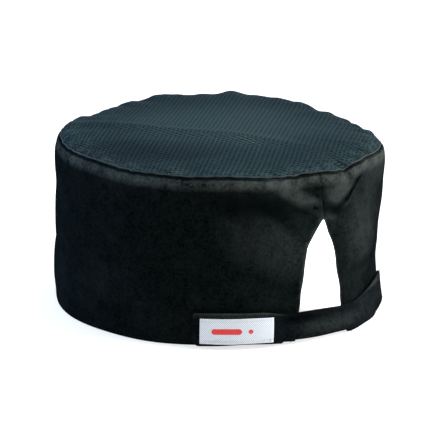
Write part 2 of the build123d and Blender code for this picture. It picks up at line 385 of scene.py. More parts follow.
class Surface:
    # a material and its one principled shader
    def __init__(self, name):
        self.material = bpy.data.materials.new(name)
        self.material.use_nodes = True
        self.tree = self.material.node_tree
        self.tree.nodes.clear()
        self.sink = self.tree.nodes.new("ShaderNodeOutputMaterial")

    def add(self, kind, settings=None, sockets=None, output=0):
        node = self.tree.nodes.new(kind)
        for key, value in (settings or {}).items():
            if key == "stops":
                ramp = node.color_ramp.elements
                while len(ramp) < len(value):
                    ramp.new(0.5)
                for element, (place, colour) in zip(ramp, value):
                    element.position = place
                    element.color = (*colour, 1) if len(colour) == 3 else colour
            else:
                setattr(node, key, value)
        for key, value in (sockets or {}).items():
            if isinstance(value, Wire):
                self.tree.links.new(value.socket, node.inputs[key])
            else:
                node.inputs[key].default_value = value
        return Wire(self, node.outputs[output])

    def clothAxes(self):
        # metres along and across the cloth
        uv = self.add("ShaderNodeUVMap", {"uv_map": "cloth"})
        split = self.add("ShaderNodeSeparateXYZ", None, {0: uv})
        across = Wire(self, split.socket.node.outputs[1])
        return uv, split, across

    def place(self):
        return self.add("ShaderNodeTexCoord", None, None, 3)

    def noise(self, vector, scale, detail=2.0, rough=0.5):
        sockets = {"Vector": vector, "Scale": scale, "Detail": detail, "Roughness": rough}
        return self.add("ShaderNodeTexNoise", None, sockets)

    def mix(self, factor, first, second):
        settings = {"data_type": "RGBA", "blend_type": "MIX"}
        return self.add("ShaderNodeMix", settings, {0: factor, 6: first, 7: second}, 2)

    def stretch(self, vector, factors):
        return self.add(
            "ShaderNodeVectorMath", {"operation": "MULTIPLY"}, {0: vector, 1: factors}
        )

    def bump(self, height, distance, strength=1.0, under=None):
        sockets = {"Strength": strength, "Distance": distance, "Height": height}
        if under is not None:
            sockets["Normal"] = under
        return self.add("ShaderNodeBump", None, sockets)

    def shade(self, colour, roughness, normal=None, sheen=0.0, tint=(1, 1, 1), specular=0.5):
        sockets = {
            "Base Color": colour,
            "Roughness": roughness,
            "Sheen Weight": sheen,
            "Sheen Roughness": 0.45,
            "Sheen Tint": (*tint, 1),
            "Specular IOR Level": specular,
        }
        if normal is not None:
            sockets["Normal"] = normal
        shader = self.add("ShaderNodeBsdfPrincipled", None, sockets)
        self.tree.links.new(shader.socket, self.sink.inputs["Surface"])
        return self.material


def rgb(red, green, blue):
    return (red, green, blue, 1.0)


twillLook = {
    "pitch": 0.55 * mm,
    "dark": rgb(0.0003, 0.0007, 0.0009),
    "light": rgb(0.0055, 0.0078, 0.0076),
    "fade": rgb(0.0110, 0.0140, 0.0140),
    "rough": 0.90,
    "sheen": 0.004,
    "sheenTint": (0.55, 0.75, 1.0),
    "specular": 0.0,
    "patches": 0.70,
    "blotch": 150.0,
    "grain": 700.0,
    "seamHighlight": 0.95,  # how pale the painted highlight is on the wall's shoulder under the crown seam
    "seamHighlightFrom": wallHeight - 7.0 * mm,
    "seamHighlightTo": wallHeight - 0.9 * mm,
    "seamHighlightTall": 3.5 * mm,
    # the pale tone of the painted highlights
    "highlightTone": rgb(0.0230, 0.0285, 0.0270),
    "lint": rgb(0.052, 0.062, 0.058),
    # painted light and shade: soft patches painted pale where folds catch the light and dark where they lose
    # it: place, height, slant, width, height, strength
    "lightAndShadePatches": (
        (15 * mm, 83 * mm, 0.59, 29 * mm, 6.5 * mm, 1.1),
        (-14 * mm, 84 * mm, 0.0, 17 * mm, 13 * mm, 1.0),
        (-52 * mm, 88 * mm, 0.0, 26 * mm, 12 * mm, 0.45),
        (-36 * mm, 58 * mm, 0.1, 24 * mm, 34 * mm, 0.50),
        (32 * mm, 56 * mm, 0.3, 36 * mm, 21 * mm, 0.36),
        (-21 * mm, 82 * mm, -0.68, 17 * mm, 4.4 * mm, -1.1),
        (-2 * mm, 75 * mm, 0.12, 26 * mm, 5.0 * mm, -0.85),
        (-44 * mm, 35 * mm, 0.0, 24 * mm, 5 * mm, -0.5),
        (40 * mm, 80 * mm, 0.1, 32 * mm, 9 * mm, -0.5),
    ),
}

strapLook = {
    **twillLook,
    "dark": rgb(0.0005, 0.0008, 0.0011),
    "light": rgb(0.0070, 0.0090, 0.0105),
    "fade": rgb(0.0165, 0.0200, 0.0215),
    "patches": 0.75,
    "seamHighlight": 0.0,
    # painted light and shade: highlights along the strap's top edge and a paler middle, and two darker
    # patches of painted shade
    "lightAndShadePatches": (
        (48 * mm, 20.3 * mm, 0.0, 38 * mm, 2.2 * mm, 0.9),
        (-50 * mm, 19.6 * mm, 0.0, 30 * mm, 1.9 * mm, 0.9),
        (-6 * mm, 9 * mm, 0.0, 26 * mm, 7 * mm, 0.45),
        (16 * mm, 16 * mm, 0.0, 16 * mm, 5 * mm, -0.9),
        (-60 * mm, 4.5 * mm, 0.0, 24 * mm, 4 * mm, -0.5),
    ),
}


def makeTwill(name, look):
    # diagonal ribs of two-ply yarn, blotched and faded in soft patches, with painted light and shade in
    # listed patches and a painted highlight under the crown seam
    s = Surface(name)
    uv, around, up = s.clothAxes()
    along = around - (around > girth / 2) * girth
    wobble = s.noise(uv, 260.0, 2.0) * (0.35 * look["pitch"])
    turn = 2 * math.pi / look["pitch"]
    rib = ((along + up + wobble) * turn).sine() * 0.5 + 0.5
    yarn = ((along - up) * (turn * 0.62)).sine() * 0.5 + 0.5
    weave = rib * 0.7 + rib * yarn * 0.3
    slub = s.noise(s.stretch(uv, (1.0, 0.12, 1.0)), 900.0, 3.0, 0.6)
    patch = s.noise(s.place(), 26.0, 4.0, 0.6)
    blotch = ((s.noise(s.place(), look["blotch"], 4.0, 0.65) - 0.5) * 3.2 + 0.5).most(0.0).least(1.0)
    grain = ((s.noise(s.place(), look["grain"], 2.0, 0.6) - 0.5) * 4.0 + 0.5).most(0.0).least(1.0)
    lint = s.noise(s.place(), 1500.0, 2.0, 0.7) > 0.71
    faded = ((patch - 0.42) * 2.2).most(0.0).least(1.0)
    tone = weave * 0.14 + slub * 0.10 + blotch * 0.32 + grain * 0.44
    colour = s.mix(tone, look["dark"], look["light"])
    colour = s.mix(faded * look["patches"] * (blotch * 0.4 + grain * 0.3 + 0.3), colour, look["fade"])
    # painted light and shade: each patch mixes the cloth towards the highlight tone, or towards the dark tone
    # where its strength is below zero
    for place, level, slant, wide, tall, strength in look["lightAndShadePatches"]:
        across = along - place
        spot = 1.0 - (across / wide).power(2.0) - ((up - level - across * slant) / tall).power(2.0)
        spot = spot.most(0.0).power(1.4) * abs(strength) * (blotch * 0.6 + grain * 0.5 + 0.4)
        colour = s.mix(spot.least(1.0), colour, look["highlightTone"] if strength > 0 else look["dark"])
    # painted highlight: a strip of the wall just under the crown seam is mixed towards the pale lint colour,
    # standing in for the top light on the wall's rounded shoulder
    shoulderLight = ((up - look["seamHighlightFrom"]) / look["seamHighlightTall"]).most(0.0).least(1.0)
    shoulderLight = shoulderLight * ((look["seamHighlightTo"] - up) / (0.5 * mm)).most(0.0).least(1.0)
    shoulderLight = shoulderLight * (blotch * 0.40 + grain * 0.30 + faded * 0.45) * look["seamHighlight"]
    colour = s.mix(shoulderLight.least(1.0), colour, look["lint"])
    colour = s.mix(lint * 0.25, colour, look["lint"])
    normal = s.bump(patch + blotch * 0.25, 1.2 * mm, 0.3)
    normal = s.bump(weave + slub * 0.6 + grain * 0.3, 0.10 * mm, 0.75, normal)
    rough = look["rough"] - faded * 0.06
    return s.shade(colour, rough, normal, look["sheen"], look["sheenTint"], look["specular"])


def makePlainWeave(name, pitch, dark, light, rough=0.9, sheen=0.1, fuzz=0.5):
    # over-and-under weave, for tapes, facings and linings
    s = Surface(name)
    uv, along, up = s.clothAxes()
    turn = math.pi / pitch
    warp = (along * turn).sine().size()
    weft = (up * turn).sine().size()
    check = ((along * turn).sine() * (up * turn).sine()) * 0.5 + 0.5
    weave = warp * check + weft * (1.0 - check)
    patch = s.noise(s.place(), 60.0, 3.0)
    slub = s.noise(uv, 1100.0, 3.0, 0.65)
    colour = s.mix(weave * 0.6 + slub * 0.4 * patch, dark, light)
    normal = s.bump(weave + slub * fuzz, 0.12 * mm, 0.6)
    return s.shade(colour, rough, normal, sheen, (1, 1, 1), 0.3)


def makeFuzzy(name, dark, light, grain, depth):
    # felted or looped cloth: soft clumps with no weave to see
    s = Surface(name)
    fine = s.noise(s.place(), grain, 4.0, 0.7)
    clump = s.noise(s.place(), grain * 0.18, 2.0)
    colour = s.mix(fine * 0.7 + clump * 0.3, dark, light)
    normal = s.bump(fine + clump * 0.5, depth, 0.8)
    return s.shade(colour, 0.95, normal, 0.4, (1, 1, 1), 0.2)


def makeThread(name, dark, light, rough=0.6, sheen=0.2):
    # twisted sewing thread
    s = Surface(name)
    split = s.add("ShaderNodeSeparateXYZ", None, {0: s.place()})
    tall = Wire(s, split.socket.node.outputs[2])
    twist = ((split + tall * 1.7) * (2 * math.pi / (0.5 * mm))).sine() * 0.5 + 0.5
    patch = s.noise(s.place(), 400.0, 2.0)
    colour = s.mix(twist * 0.5 + patch * 0.5, dark, light)
    normal = s.bump(twist, 0.05 * mm, 0.6)
    return s.shade(colour, rough, normal, sheen, (1, 1, 1), 2 * sheen)


def makeCrownMesh(name, look):
    # dull knitted yarn, a little paler on its raised ribs, with fuzz and dusty patches, painted shade in the
    # crease's valley and towards the rear, and painted light over the middle
    s = Surface(name)
    fine = s.noise(s.place(), 1900.0, 3.0, 0.7)
    patch = s.noise(s.place(), 34.0, 4.0, 0.6)
    strand = s.noise(s.stretch(s.place(), (1.0, 1.0, 0.2)), 620.0, 2.0)
    blotch = ((s.noise(s.place(), 210.0, 4.0, 0.65) - 0.5) * 2.4 + 0.5).most(0.0).least(1.0)
    colour = s.mix(fine * 0.35 + strand * 0.35 + blotch * 0.30, look["dark"], look["light"])
    colour = s.mix(((patch - 0.45) * 2.0).most(0.0).least(1.0) * 0.4, colour, look["fade"])
    flat = s.add("ShaderNodeSeparateXYZ", None, {0: s.place()})
    x, y = flat, Wire(s, flat.socket.node.outputs[1])
    cosine, sine = math.cos(crown["creaseTurn"]), math.sin(crown["creaseTurn"])
    across = x * cosine + y * sine
    away = y * cosine - x * sine
    # painted shade: the valley on the near side of the crease is darkened towards the valley colour
    valley = 1.0 - ((across + 40 * mm) / (52 * mm)).power(2.0) - ((away + 50 * mm) / (20 * mm)).power(2.0)
    colour = s.mix(valley.most(0.0).power(0.6) * (0.50 + 0.5 * blotch), colour, look["valley"])
    reach = (x.power(2.0) + y.power(2.0)).power(0.5)
    # painted light: the middle of the crown is mixed paler, towards the fade colour
    middle = (1.0 - (reach / (64 * mm)).power(2.0)).most(0.0)
    colour = s.mix(middle * (0.25 + 0.35 * strand), colour, look["fade"])
    # painted shade: the crown darkens towards its rear, towards the valley colour
    far = ((away - 25 * mm) / (55 * mm)).most(0.0).least(1.0)
    colour = s.mix(far * 0.42, colour, look["valley"])
    rim = ((reach - 79 * mm) / (9 * mm)).most(0.0).least(1.0)
    colour = s.mix(rim * (blotch - 0.35).most(0.0) * 1.2, colour, look["rim"])
    colour = s.mix(rim * (0.45 - blotch).most(0.0) * 1.6, colour, look["valley"])
    normal = s.bump(fine + strand, 0.16 * mm, 0.8)
    return s.shade(colour, look["rough"], normal, look["sheen"], look["sheenTint"], look["specular"])


crownLook = {
    "dark": rgb(0.0022, 0.0060, 0.0080),
    "light": rgb(0.0140, 0.0290, 0.0350),
    "fade": rgb(0.0250, 0.0440, 0.0480),
    "valley": rgb(0.0030, 0.0068, 0.0115),
    "rim": rgb(0.0240, 0.0450, 0.0450),
    "rough": 0.90,
    "specular": 0.04,
    "sheen": 0.006,
    "sheenTint": (0.6, 0.85, 0.95),
}

labelLook = {
    "rib": 1.1 * mm,
    "pale": rgb(0.90, 0.93, 0.97),
    "grey": rgb(0.26, 0.29, 0.35),
    "red": rgb(0.85, 0.070, 0.065),
    "redDark": rgb(0.40, 0.020, 0.025),
    "barStart": 64.0 * mm,
    "barEnd": 48.0 * mm,
    "barHalf": 1.7 * mm,
    "dotAt": 43.4 * mm,
    "dotHalf": 1.25 * mm,
    "ragged": 0.35 * mm,
}


def makeLabelWeave(name, look, middle, half, start, end):
    # satin label with diagonal ribs, a plain red bar and dot, and a denser woven border
    s = Surface(name)
    uv, along, up = s.clothAxes()
    fine = s.noise(uv, 2200.0, 3.0, 0.7)
    wobble = (s.noise(uv, 900.0, 2.0) - 0.5) * look["ragged"]
    turn = 2 * math.pi / look["rib"]
    rib = ((along + up) * turn).sine() * 0.5 + 0.5
    pick = (up * (2 * math.pi / (0.34 * mm))).sine() * 0.5 + 0.5
    ground = s.mix(rib * 0.75 + fine * 0.25, look["grey"], look["pale"])
    rise = (up - middle).size()
    fromEnds = ((along - start).size()).least((along - end).size())
    fromSides = half - rise
    border = (fromSides.least(fromEnds)) < 0.9 * mm
    ground = s.mix(border * 0.45, ground, s.mix(fine, look["grey"], look["pale"]))
    barMiddle = (look["barStart"] + look["barEnd"]) / 2
    barLong = (look["barStart"] - look["barEnd"]) / 2 - look["barHalf"]
    overrun = ((along - barMiddle).size() - barLong).most(0.0)
    bar = (overrun.power(2.0) + rise.power(2.0)).power(0.5) + wobble
    dot = ((along - look["dotAt"]).power(2.0) + rise.power(2.0)).power(0.5) + wobble
    mark = (bar < look["barHalf"]).most(dot < look["dotHalf"])
    red = s.mix(rib * 0.6 + fine * 0.4, look["redDark"], look["red"])
    colour = s.mix(mark, ground, red)
    normal = s.bump(rib * 0.6 + pick * 0.4 + mark * 0.5, 0.12 * mm, 0.7)
    return s.shade(colour, 0.55, normal, 0.04, (1, 1, 1), 0.2)


# Geometry Nodes trees


class Nodes:
    # a Geometry Nodes tree with named inputs, built one node at a time
    def __init__(self, name, inputs):
        self.tree = bpy.data.node_groups.new(name, "GeometryNodeTree")
        face = self.tree.interface
        face.new_socket("Geometry", in_out="INPUT", socket_type="NodeSocketGeometry")
        face.new_socket("Geometry", in_out="OUTPUT", socket_type="NodeSocketGeometry")
        self.ids = {}
        for label, kind in inputs.items():
            socket = face.new_socket(label, in_out="INPUT", socket_type="NodeSocket" + kind)
            self.ids[label] = socket.identifier
        self.start = self.tree.nodes.new("NodeGroupInput")
        self.end = self.tree.nodes.new("NodeGroupOutput")

    def add(self, kind, settings=None, sockets=None, output=0):
        node = self.tree.nodes.new(kind)
        for key, value in (settings or {}).items():
            setattr(node, key, value)
        for key, value in (sockets or {}).items():
            if isinstance(value, bpy.types.NodeSocket):
                self.tree.links.new(value, node.inputs[key])
            else:
                node.inputs[key].default_value = value
        return node.outputs[output]

    def maths(self, operation, first, second=0.0):
        return self.add("ShaderNodeMath", {"operation": operation}, {0: first, 1: second})

    def finish(self, geometry):
        solid = self.add("GeometryNodeRealizeInstances", None, {0: geometry})
        cloth = self.add(
            "GeometryNodeSetMaterial", None, {"Geometry": solid, "Material": self.start.outputs["Material"]}
        )
        self.tree.links.new(cloth, self.end.inputs["Geometry"])
        return self

    def run(self, name, mesh, values):
        # gives a new object with the tree's result as its plain mesh
        piece = newObject(name, mesh)
        modifier = piece.modifiers.new(self.tree.name, "NODES")
        modifier.node_group = self.tree
        for label, value in values.items():
            modifier[self.ids[label]] = value
        return bake(piece)


def eyeletTree():
    # hexagonal cells with a hole in each, laid edge to edge over a disc
    t = Nodes(
        "eyeletNet",
        {"Pitch": "Float", "Hole Share": "Float", "Radius": "Float", "Material": "Material"},
    )
    pitch = t.start.outputs["Pitch"]
    radius = t.start.outputs["Radius"]
    corner = t.maths("DIVIDE", pitch, math.sqrt(3))
    cell = t.add(
        "GeometryNodeMeshCircle", {"fill_type": "NGON"}, {"Vertices": 6, "Radius": corner}
    )
    grown = t.add("GeometryNodeExtrudeMesh", {"mode": "FACES"}, {"Mesh": cell, "Offset Scale": 0.0})
    top = grown.node.outputs["Top"]
    shrunk = t.add(
        "GeometryNodeScaleElements",
        {"domain": "FACE"},
        {"Geometry": grown, "Selection": top, "Scale": t.start.outputs["Hole Share"]},
    )
    ring = t.add("GeometryNodeDeleteGeometry", {"domain": "FACE"}, {"Geometry": shrunk, "Selection": top})
    columnStep = t.maths("MULTIPLY", pitch, math.sqrt(3) / 2)
    diameter = t.maths("MULTIPLY", radius, 2.0)
    perColumn = t.maths("ADD", t.maths("CEIL", t.maths("DIVIDE", diameter, pitch)), 2.0)
    columns = t.maths("ADD", t.maths("CEIL", t.maths("DIVIDE", diameter, columnStep)), 2.0)
    long = t.maths("MULTIPLY", t.maths("SUBTRACT", columns, 1.0), columnStep)
    tall = t.maths("MULTIPLY", t.maths("SUBTRACT", perColumn, 1.0), pitch)
    grid = t.add(
        "GeometryNodeMeshGrid",
        None,
        {"Size X": long, "Size Y": tall, "Vertices X": columns, "Vertices Y": perColumn},
    )
    index = t.add("GeometryNodeInputIndex")
    column = t.maths("FLOOR", t.maths("DIVIDE", t.maths("ADD", index, 0.5), perColumn))
    stagger = t.maths("MULTIPLY", t.maths("MODULO", column, 2.0), t.maths("MULTIPLY", pitch, 0.5))
    offset = t.add("ShaderNodeCombineXYZ", None, {"Y": stagger})
    laid = t.add("GeometryNodeSetPosition", None, {"Geometry": grid, "Offset": offset})
    away = t.add(
        "ShaderNodeVectorMath", {"operation": "LENGTH"}, {0: t.add("GeometryNodeInputPosition")}, 1
    )
    outside = t.maths("GREATER_THAN", away, radius)
    disc = t.add("GeometryNodeDeleteGeometry", {"domain": "POINT"}, {"Geometry": laid, "Selection": outside})
    cells = t.add("GeometryNodeInstanceOnPoints", None, {"Points": disc, "Instance": ring})
    solid = t.add("GeometryNodeRealizeInstances", None, {0: cells})
    joined = t.add("GeometryNodeMergeByDistance", None, {"Geometry": solid, "Distance": 0.02 * mm})
    return t.finish(joined)


def stitchTree():
    # a small plump stitch on each step of a line, turned along it
    t = Nodes(
        "stitchRow",
        {"Step": "Float", "Length": "Float", "Thread": "Float", "Material": "Material"},
    )
    line = t.add("GeometryNodeMeshToCurve", None, {"Mesh": t.start.outputs["Geometry"]})
    steps = t.add(
        "GeometryNodeResampleCurve",
        {"mode": "LENGTH"},
        {"Curve": line, "Length": t.start.outputs["Step"]},
    )
    bead = t.add("GeometryNodeMeshUVSphere", None, {"Segments": 6, "Rings": 5, "Radius": 0.5})
    tangent = t.add("GeometryNodeInputTangent")
    turn = t.add("FunctionNodeAlignRotationToVector", {"axis": "Z"}, {"Vector": tangent})
    thread = t.start.outputs["Thread"]
    size = t.add("ShaderNodeCombineXYZ", None, {"X": thread, "Y": thread, "Z": t.start.outputs["Length"]})
    beads = t.add(
        "GeometryNodeInstanceOnPoints",
        None,
        {"Points": steps, "Instance": bead, "Rotation": turn, "Scale": size},
    )
    return t.finish(beads)


def pileTree():
    # little bent threads scattered over a face and turned to stand on it
    t = Nodes(
        "pile",
        {"Spacing": "Float", "Height": "Float", "Seed": "Int", "Open": "Float", "Material": "Material"},
    )
    places = t.add(
        "GeometryNodeDistributePointsOnFaces",
        {"distribute_method": "POISSON"},
        {
            "Mesh": t.start.outputs["Geometry"],
            "Distance Min": t.start.outputs["Spacing"],
            "Density Max": 4.0e6,
            "Seed": t.start.outputs["Seed"],
        },
    )
    standing = places.node.outputs["Rotation"]
    height = t.start.outputs["Height"]
    arc = t.add(
        "GeometryNodeCurveArc",
        {"mode": "RADIUS"},
        {"Resolution": 7, "Radius": 0.5, "Start Angle": 0.0, "Sweep Angle": t.start.outputs["Open"]},
    )
    section = t.add("GeometryNodeCurvePrimitiveCircle", {"mode": "RADIUS"}, {"Resolution": 4, "Radius": 0.12})
    hook = t.add("GeometryNodeCurveToMesh", None, {"Curve": arc, "Profile Curve": section})
    upright = t.add(
        "GeometryNodeTransform", None, {"Geometry": hook, "Rotation": (math.pi / 2, 0, 0)}
    )
    fullTurn = {2: 0.0, 3: 2 * math.pi, 8: t.start.outputs["Seed"]}
    spin = t.add("FunctionNodeRandomValue", {"data_type": "FLOAT"}, fullTurn, 1)
    about = t.add("FunctionNodeAxisAngleToRotation", None, {"Axis": (0.0, 0.0, 1.0), "Angle": spin})
    turned = t.add("FunctionNodeRotateRotation", {"rotation_space": "LOCAL"}, {0: standing, 1: about})
    reach = t.maths("MULTIPLY", height, 1.6)
    size = t.add("ShaderNodeCombineXYZ", None, {"X": height, "Y": height, "Z": reach})
    threads = t.add(
        "GeometryNodeInstanceOnPoints",
        None,
        {"Points": places, "Instance": upright, "Rotation": turned, "Scale": size},
    )
    return t.finish(threads)


# Crown

crown = {
    "pitch": 2.97 * mm,
    "holeShare": 0.46,
    "cutRadius": 97.0 * mm,
    "lean": math.radians(134.4),  # the way the columns of eyelets run across the cap
    "ply": 0.5 * mm,
    "rim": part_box("crown_panel")[1].x,
    "rise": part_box("crown_panel")[1].z - wallHeight,
    "shoulderWidth": 6.0 * mm,
    "shoulderRise": 4.9 * mm,
    "shoulderArc": 8.2 * mm,
    "creaseTurn": math.radians(143.4),
    "creaseHeight": 1.7 * mm,
    "waveHeight": 0.55 * mm,
    "puckerHeight": 0.6 * mm,
    "foldThick": 0.9 * mm,
    "foldHeight": 1.15 * mm,
    "foldDepth": 0.62 * mm,
    "seamThick": 0.9 * mm,
    "seamHeight": 0.3 * mm,
    "seamDepth": 0.75 * mm,
}


def crownPoint(flat):
    # lays the flat mesh over the head: a low dome, a rounded shoulder, then down inside the band
    s = crown
    x, y = flat[:, 0], flat[:, 1]
    reach = np.hypot(x, y)
    angle = np.arctan2(x, y)
    flatEdge = s["rim"] - s["shoulderWidth"]
    share = np.clip(reach / flatEdge, 0, 1)
    turn = np.clip((reach - flatEdge) / s["shoulderArc"], 0, 1) * math.pi / 2
    under = np.maximum(reach - flatEdge - s["shoulderArc"], 0)
    radius = np.minimum(reach, flatEdge) + s["shoulderWidth"] * np.sin(turn)
    across = math.cos(s["creaseTurn"]) * x + math.sin(s["creaseTurn"]) * y
    away = math.cos(s["creaseTurn"]) * y - math.sin(s["creaseTurn"]) * x
    slump = 3.0 * mm * ease((-away - 12 * mm) / (60 * mm))
    shoulder = s["shoulderRise"] - slump
    dome = (s["rise"] - shoulder) * (1 - share**2.2)
    height = wallHeight + dome + shoulder * np.cos(turn) - under
    inner = 1 - ease((reach - 0.8 * flatEdge) / (0.2 * flatEdge))
    crease = bell(away + 23 * mm + 0.35 * across, 7 * mm) * ease((70 * mm - across) / (50 * mm))
    height = height + s["creaseHeight"] * crease * inner
    drift = np.sin(x / (21 * mm) + 1.3) * np.cos(y / (26 * mm) - 0.6)
    drift = drift + 0.6 * np.sin(x / (12 * mm) - y / (15 * mm) + 2.1)
    height = height + s["waveHeight"] * drift * inner
    rimShare = ease((reach - 0.70 * flatEdge) / (0.30 * flatEdge))
    puckers = ripples(angle, capShape["seed"] + 5, 9, 34, 9)
    height = height + s["puckerHeight"] * puckers * rimShare * np.cos(turn) ** 0.5
    seam = ease((reach - 0.86 * flatEdge) / (0.2 * flatEdge))
    height = height + seamLift(angle) * seam - rimSag(angle) * share**3
    radius = radius + wallShift(angle, np.full_like(angle, wallHeight)) * seam
    return np.stack([radius * np.sin(angle), radius * np.cos(angle), height], -1)


def ring(name, along, z, depth, thick):
    # a plump cord round the wall
    turn = np.linspace(0, 2 * math.pi, 9)
    place, turn = np.meshgrid(along, turn, indexing="ij")
    plump = thick / 2 * (1 + 0.10 * ripples(place / wallRadius, capShape["seed"] + 6, 60, 170, 9))
    points = onWall(place, z + plump * np.sin(turn) * 0.9, depth - plump * np.cos(turn))
    piece = gridPiece(name, points, np.stack([place, turn * thick / 2], -1), closed=True)
    weld(piece, 0.001 * mm)
    return piece


def makeCrown(material, foldMaterial, seamMaterial):
    net = eyeletTree().run(
        "crown_net",
        bpy.data.meshes.new("crown_net"),
        {
            "Pitch": crown["pitch"],
            "Hole Share": crown["holeShare"],
            "Radius": crown["cutRadius"],
            "Material": material,
        },
    )
    count = len(net.data.vertices)
    flat = np.zeros(count * 3, np.float32)
    net.data.vertices.foreach_get("co", flat)
    flat = flat.reshape(-1, 3).astype(float)
    cosine, sine = math.cos(crown["lean"]), math.sin(crown["lean"])
    x = flat[:, 0] * cosine - flat[:, 1] * sine
    y = flat[:, 0] * sine + flat[:, 1] * cosine
    shaped = crownPoint(np.stack([x, y], -1))
    net.data.vertices.foreach_set("co", shaped.astype(np.float32).ravel())
    thicken(net, crown["ply"])
    finishPiece(net, material, ["crown_panel"], "cap")
    # the mesh's own fold, pressed up all round the seam
    around = np.linspace(0, girth, 420, endpoint=False)
    s = crown
    fold = ring("crown_fold", around, wallHeight + s["foldHeight"], s["foldDepth"], s["foldThick"])
    finishPiece(fold, foldMaterial, ["crown_panel"], "cap")
    # a cord of black thread round the seam: the seam's stitching, and painted shade standing in for the
    # shadow in the groove between crown and band
    seam = ring("crown_seam", around, wallHeight + s["seamHeight"], s["seamDepth"], s["seamThick"])
    finishPiece(seam, seamMaterial, ["seam_tape_stitches"], "cap")
    # the seam allowance, turned down between the band and its tape
    around = np.linspace(0, girth, 240, endpoint=False)
    down = np.linspace(wallHeight + 0.6 * mm, wallHeight - 9 * mm, 8)
    along, z = np.meshgrid(around, down, indexing="ij")
    depth = wallRadius - crown["rim"] + 0.2 * mm
    skirt = gridPiece("crown_allowance", onWall(along, z, depth), np.stack([along, z], -1), closed=True)
    thicken(skirt, crown["ply"] * 0.8)
    finishPiece(skirt, material, ["crown_panel"], "cap")


# Side band and its linings


def bandColumns(spacing, fine):
    # column places round the wall, from one side of the opening to the other, closest at its edge
    half = []
    step, at = fine, 0.0
    while at < girth / 2 - spacing:
        half.append(at)
        at += step
        step = min(step * 1.22, spacing)
    half = np.array(half)
    return np.concatenate([half, girth - half[::-1]])


def archSheet(name, low, high, depth, grow=0.0, spacing=2.2 * mm, fine=0.5 * mm, rows=(34, 16), edge=None):
    # a sheet of the wall with the rear opening left out and its sides closed above the point
    columns = bandColumns(spacing, fine)
    tip = opening["tip"] + grow
    share = np.linspace(0, 1, rows[0]) ** 1.25
    levels = [low + (min(tip, high) - low) * share]
    if high > tip:
        share = 1 - (1 - np.linspace(0, 1, rows[1])[1:]) ** 1.7
        levels.append(tip + (high - tip) * share)
    levels = np.concatenate(levels)
    half = np.where(levels < tip - 0.01 * mm, archHalf(levels, grow), 0)
    reach = 60 * mm
    near = np.clip(1 - columns / reach, 0, 1) ** 2
    far = np.clip(1 - (girth - columns) / reach, 0, 1) ** 2
    slant = capShape["seamSlant"] * ease((levels - tip) / (wallHeight - tip))
    along = columns[:, None] + half[None, :] * (near - far)[:, None]
    along = along + slant[None, :] * (near + far)[:, None]
    z = np.broadcast_to(levels[None, :], along.shape)
    fromEdge = np.minimum(columns, girth - columns)[:, None]
    inset = depth
    if edge is not None:
        inset = depth + edge(fromEdge, z, half[None, :])
    points = onWall(along, z, inset)
    piece = gridPiece(name, points, np.stack([along, z], -1))
    return piece


def bandEdge(fromEdge, z, half):
    # folds roll in at the opening, the hem and the crown seam, and the back seam sinks in
    roll = 0.55 * mm * np.clip(1 - fromEdge / (1.0 * mm), 0, 1) ** 2 * (half > 0)
    seam = 0.7 * mm * bell(fromEdge, 0.7 * mm) * (half == 0)
    beside = -0.25 * mm * bell(fromEdge - 2.6 * mm, 1.6 * mm) * (half == 0)
    ridge = -0.22 * mm * bell(fromEdge - 3.4 * mm, 1.4 * mm) * (half > 0)
    stitched = 0.25 * mm * bell(fromEdge - 2.1 * mm, 0.5 * mm) * (half > 0)
    hem = 0.45 * mm * np.clip(1 - z / (1.0 * mm), 0, 1) ** 2
    top = 1.3 * mm * np.clip(1 - (wallHeight - z) / (1.5 * mm), 0, 1) ** 2
    hemRow = 0.22 * mm * bell(z - 3.2 * mm, 0.6 * mm)
    return roll + seam + beside + ridge + stitched + hem + top + hemRow


def makeBand(material):
    band = archSheet("side_wall", 0.65 * mm, wallHeight, 0.0, rows=(64, 28), spacing=1.5 * mm, edge=bandEdge)
    weldSeam(band)
    thicken(band, 0.8 * mm, soften=0.25 * mm)
    finishPiece(band, material, ["side_band"], "cap")


def weldSeam(piece):
    # the two ends meet over the opening's point
    work = bmesh.new()
    work.from_mesh(piece.data)
    tip = opening["tip"] - 0.2 * mm
    seam = [v for v in work.verts if v.is_boundary and v.co.z > tip]
    bmesh.ops.remove_doubles(work, verts=seam, dist=0.03 * mm)
    work.to_mesh(piece.data)
    work.free()


def archOutline():
    # the opening's edge as places and heights, up one side and down the other, with its normals
    s = opening
    foot = np.linspace(0.6 * mm, s["waistHeight"], 12)[:-1]
    heights = np.concatenate([foot, np.linspace(s["waistHeight"], s["tip"] - 0.2 * mm, 34)])
    right = np.stack([archHalf(heights), heights], -1)
    outline = np.concatenate([right, (right * [-1, 1])[::-1]])
    step = np.gradient(outline, axis=0)
    normal = np.stack([step[:, 1], -step[:, 0]], -1)
    for _ in range(6):
        normal /= np.linalg.norm(normal, axis=1)[:, None]
        normal[1:-1] = (normal[:-2] + 2 * normal[1:-1] + normal[2:]) / 4
    return outline, normal / np.linalg.norm(normal, axis=1)[:, None]


linings = {
    "feltLow": 2.0 * mm,
    "feltHigh": 85.9 * mm,
    "feltDepth": 0.92 * mm,
    "feltGrow": 1.2 * mm,
    "feltThick": 0.36 * mm,
    "facingDepth": 1.45 * mm,
    "facingThick": 0.35 * mm,
    "towelInset": 10.4 * mm,  # from the opening's foot
    "towelThick": 1.7 * mm,
    "tapeLow": 84.5 * mm,
    "tapeHigh": 94.0 * mm,
    "tapeDepth": 2.0 * mm,
    "tapeThick": 0.4 * mm,
    "tagMiddle": -225.0 * mm,
    "tagHalf": 13 * mm,
    "tagThick": 0.22 * mm,
}


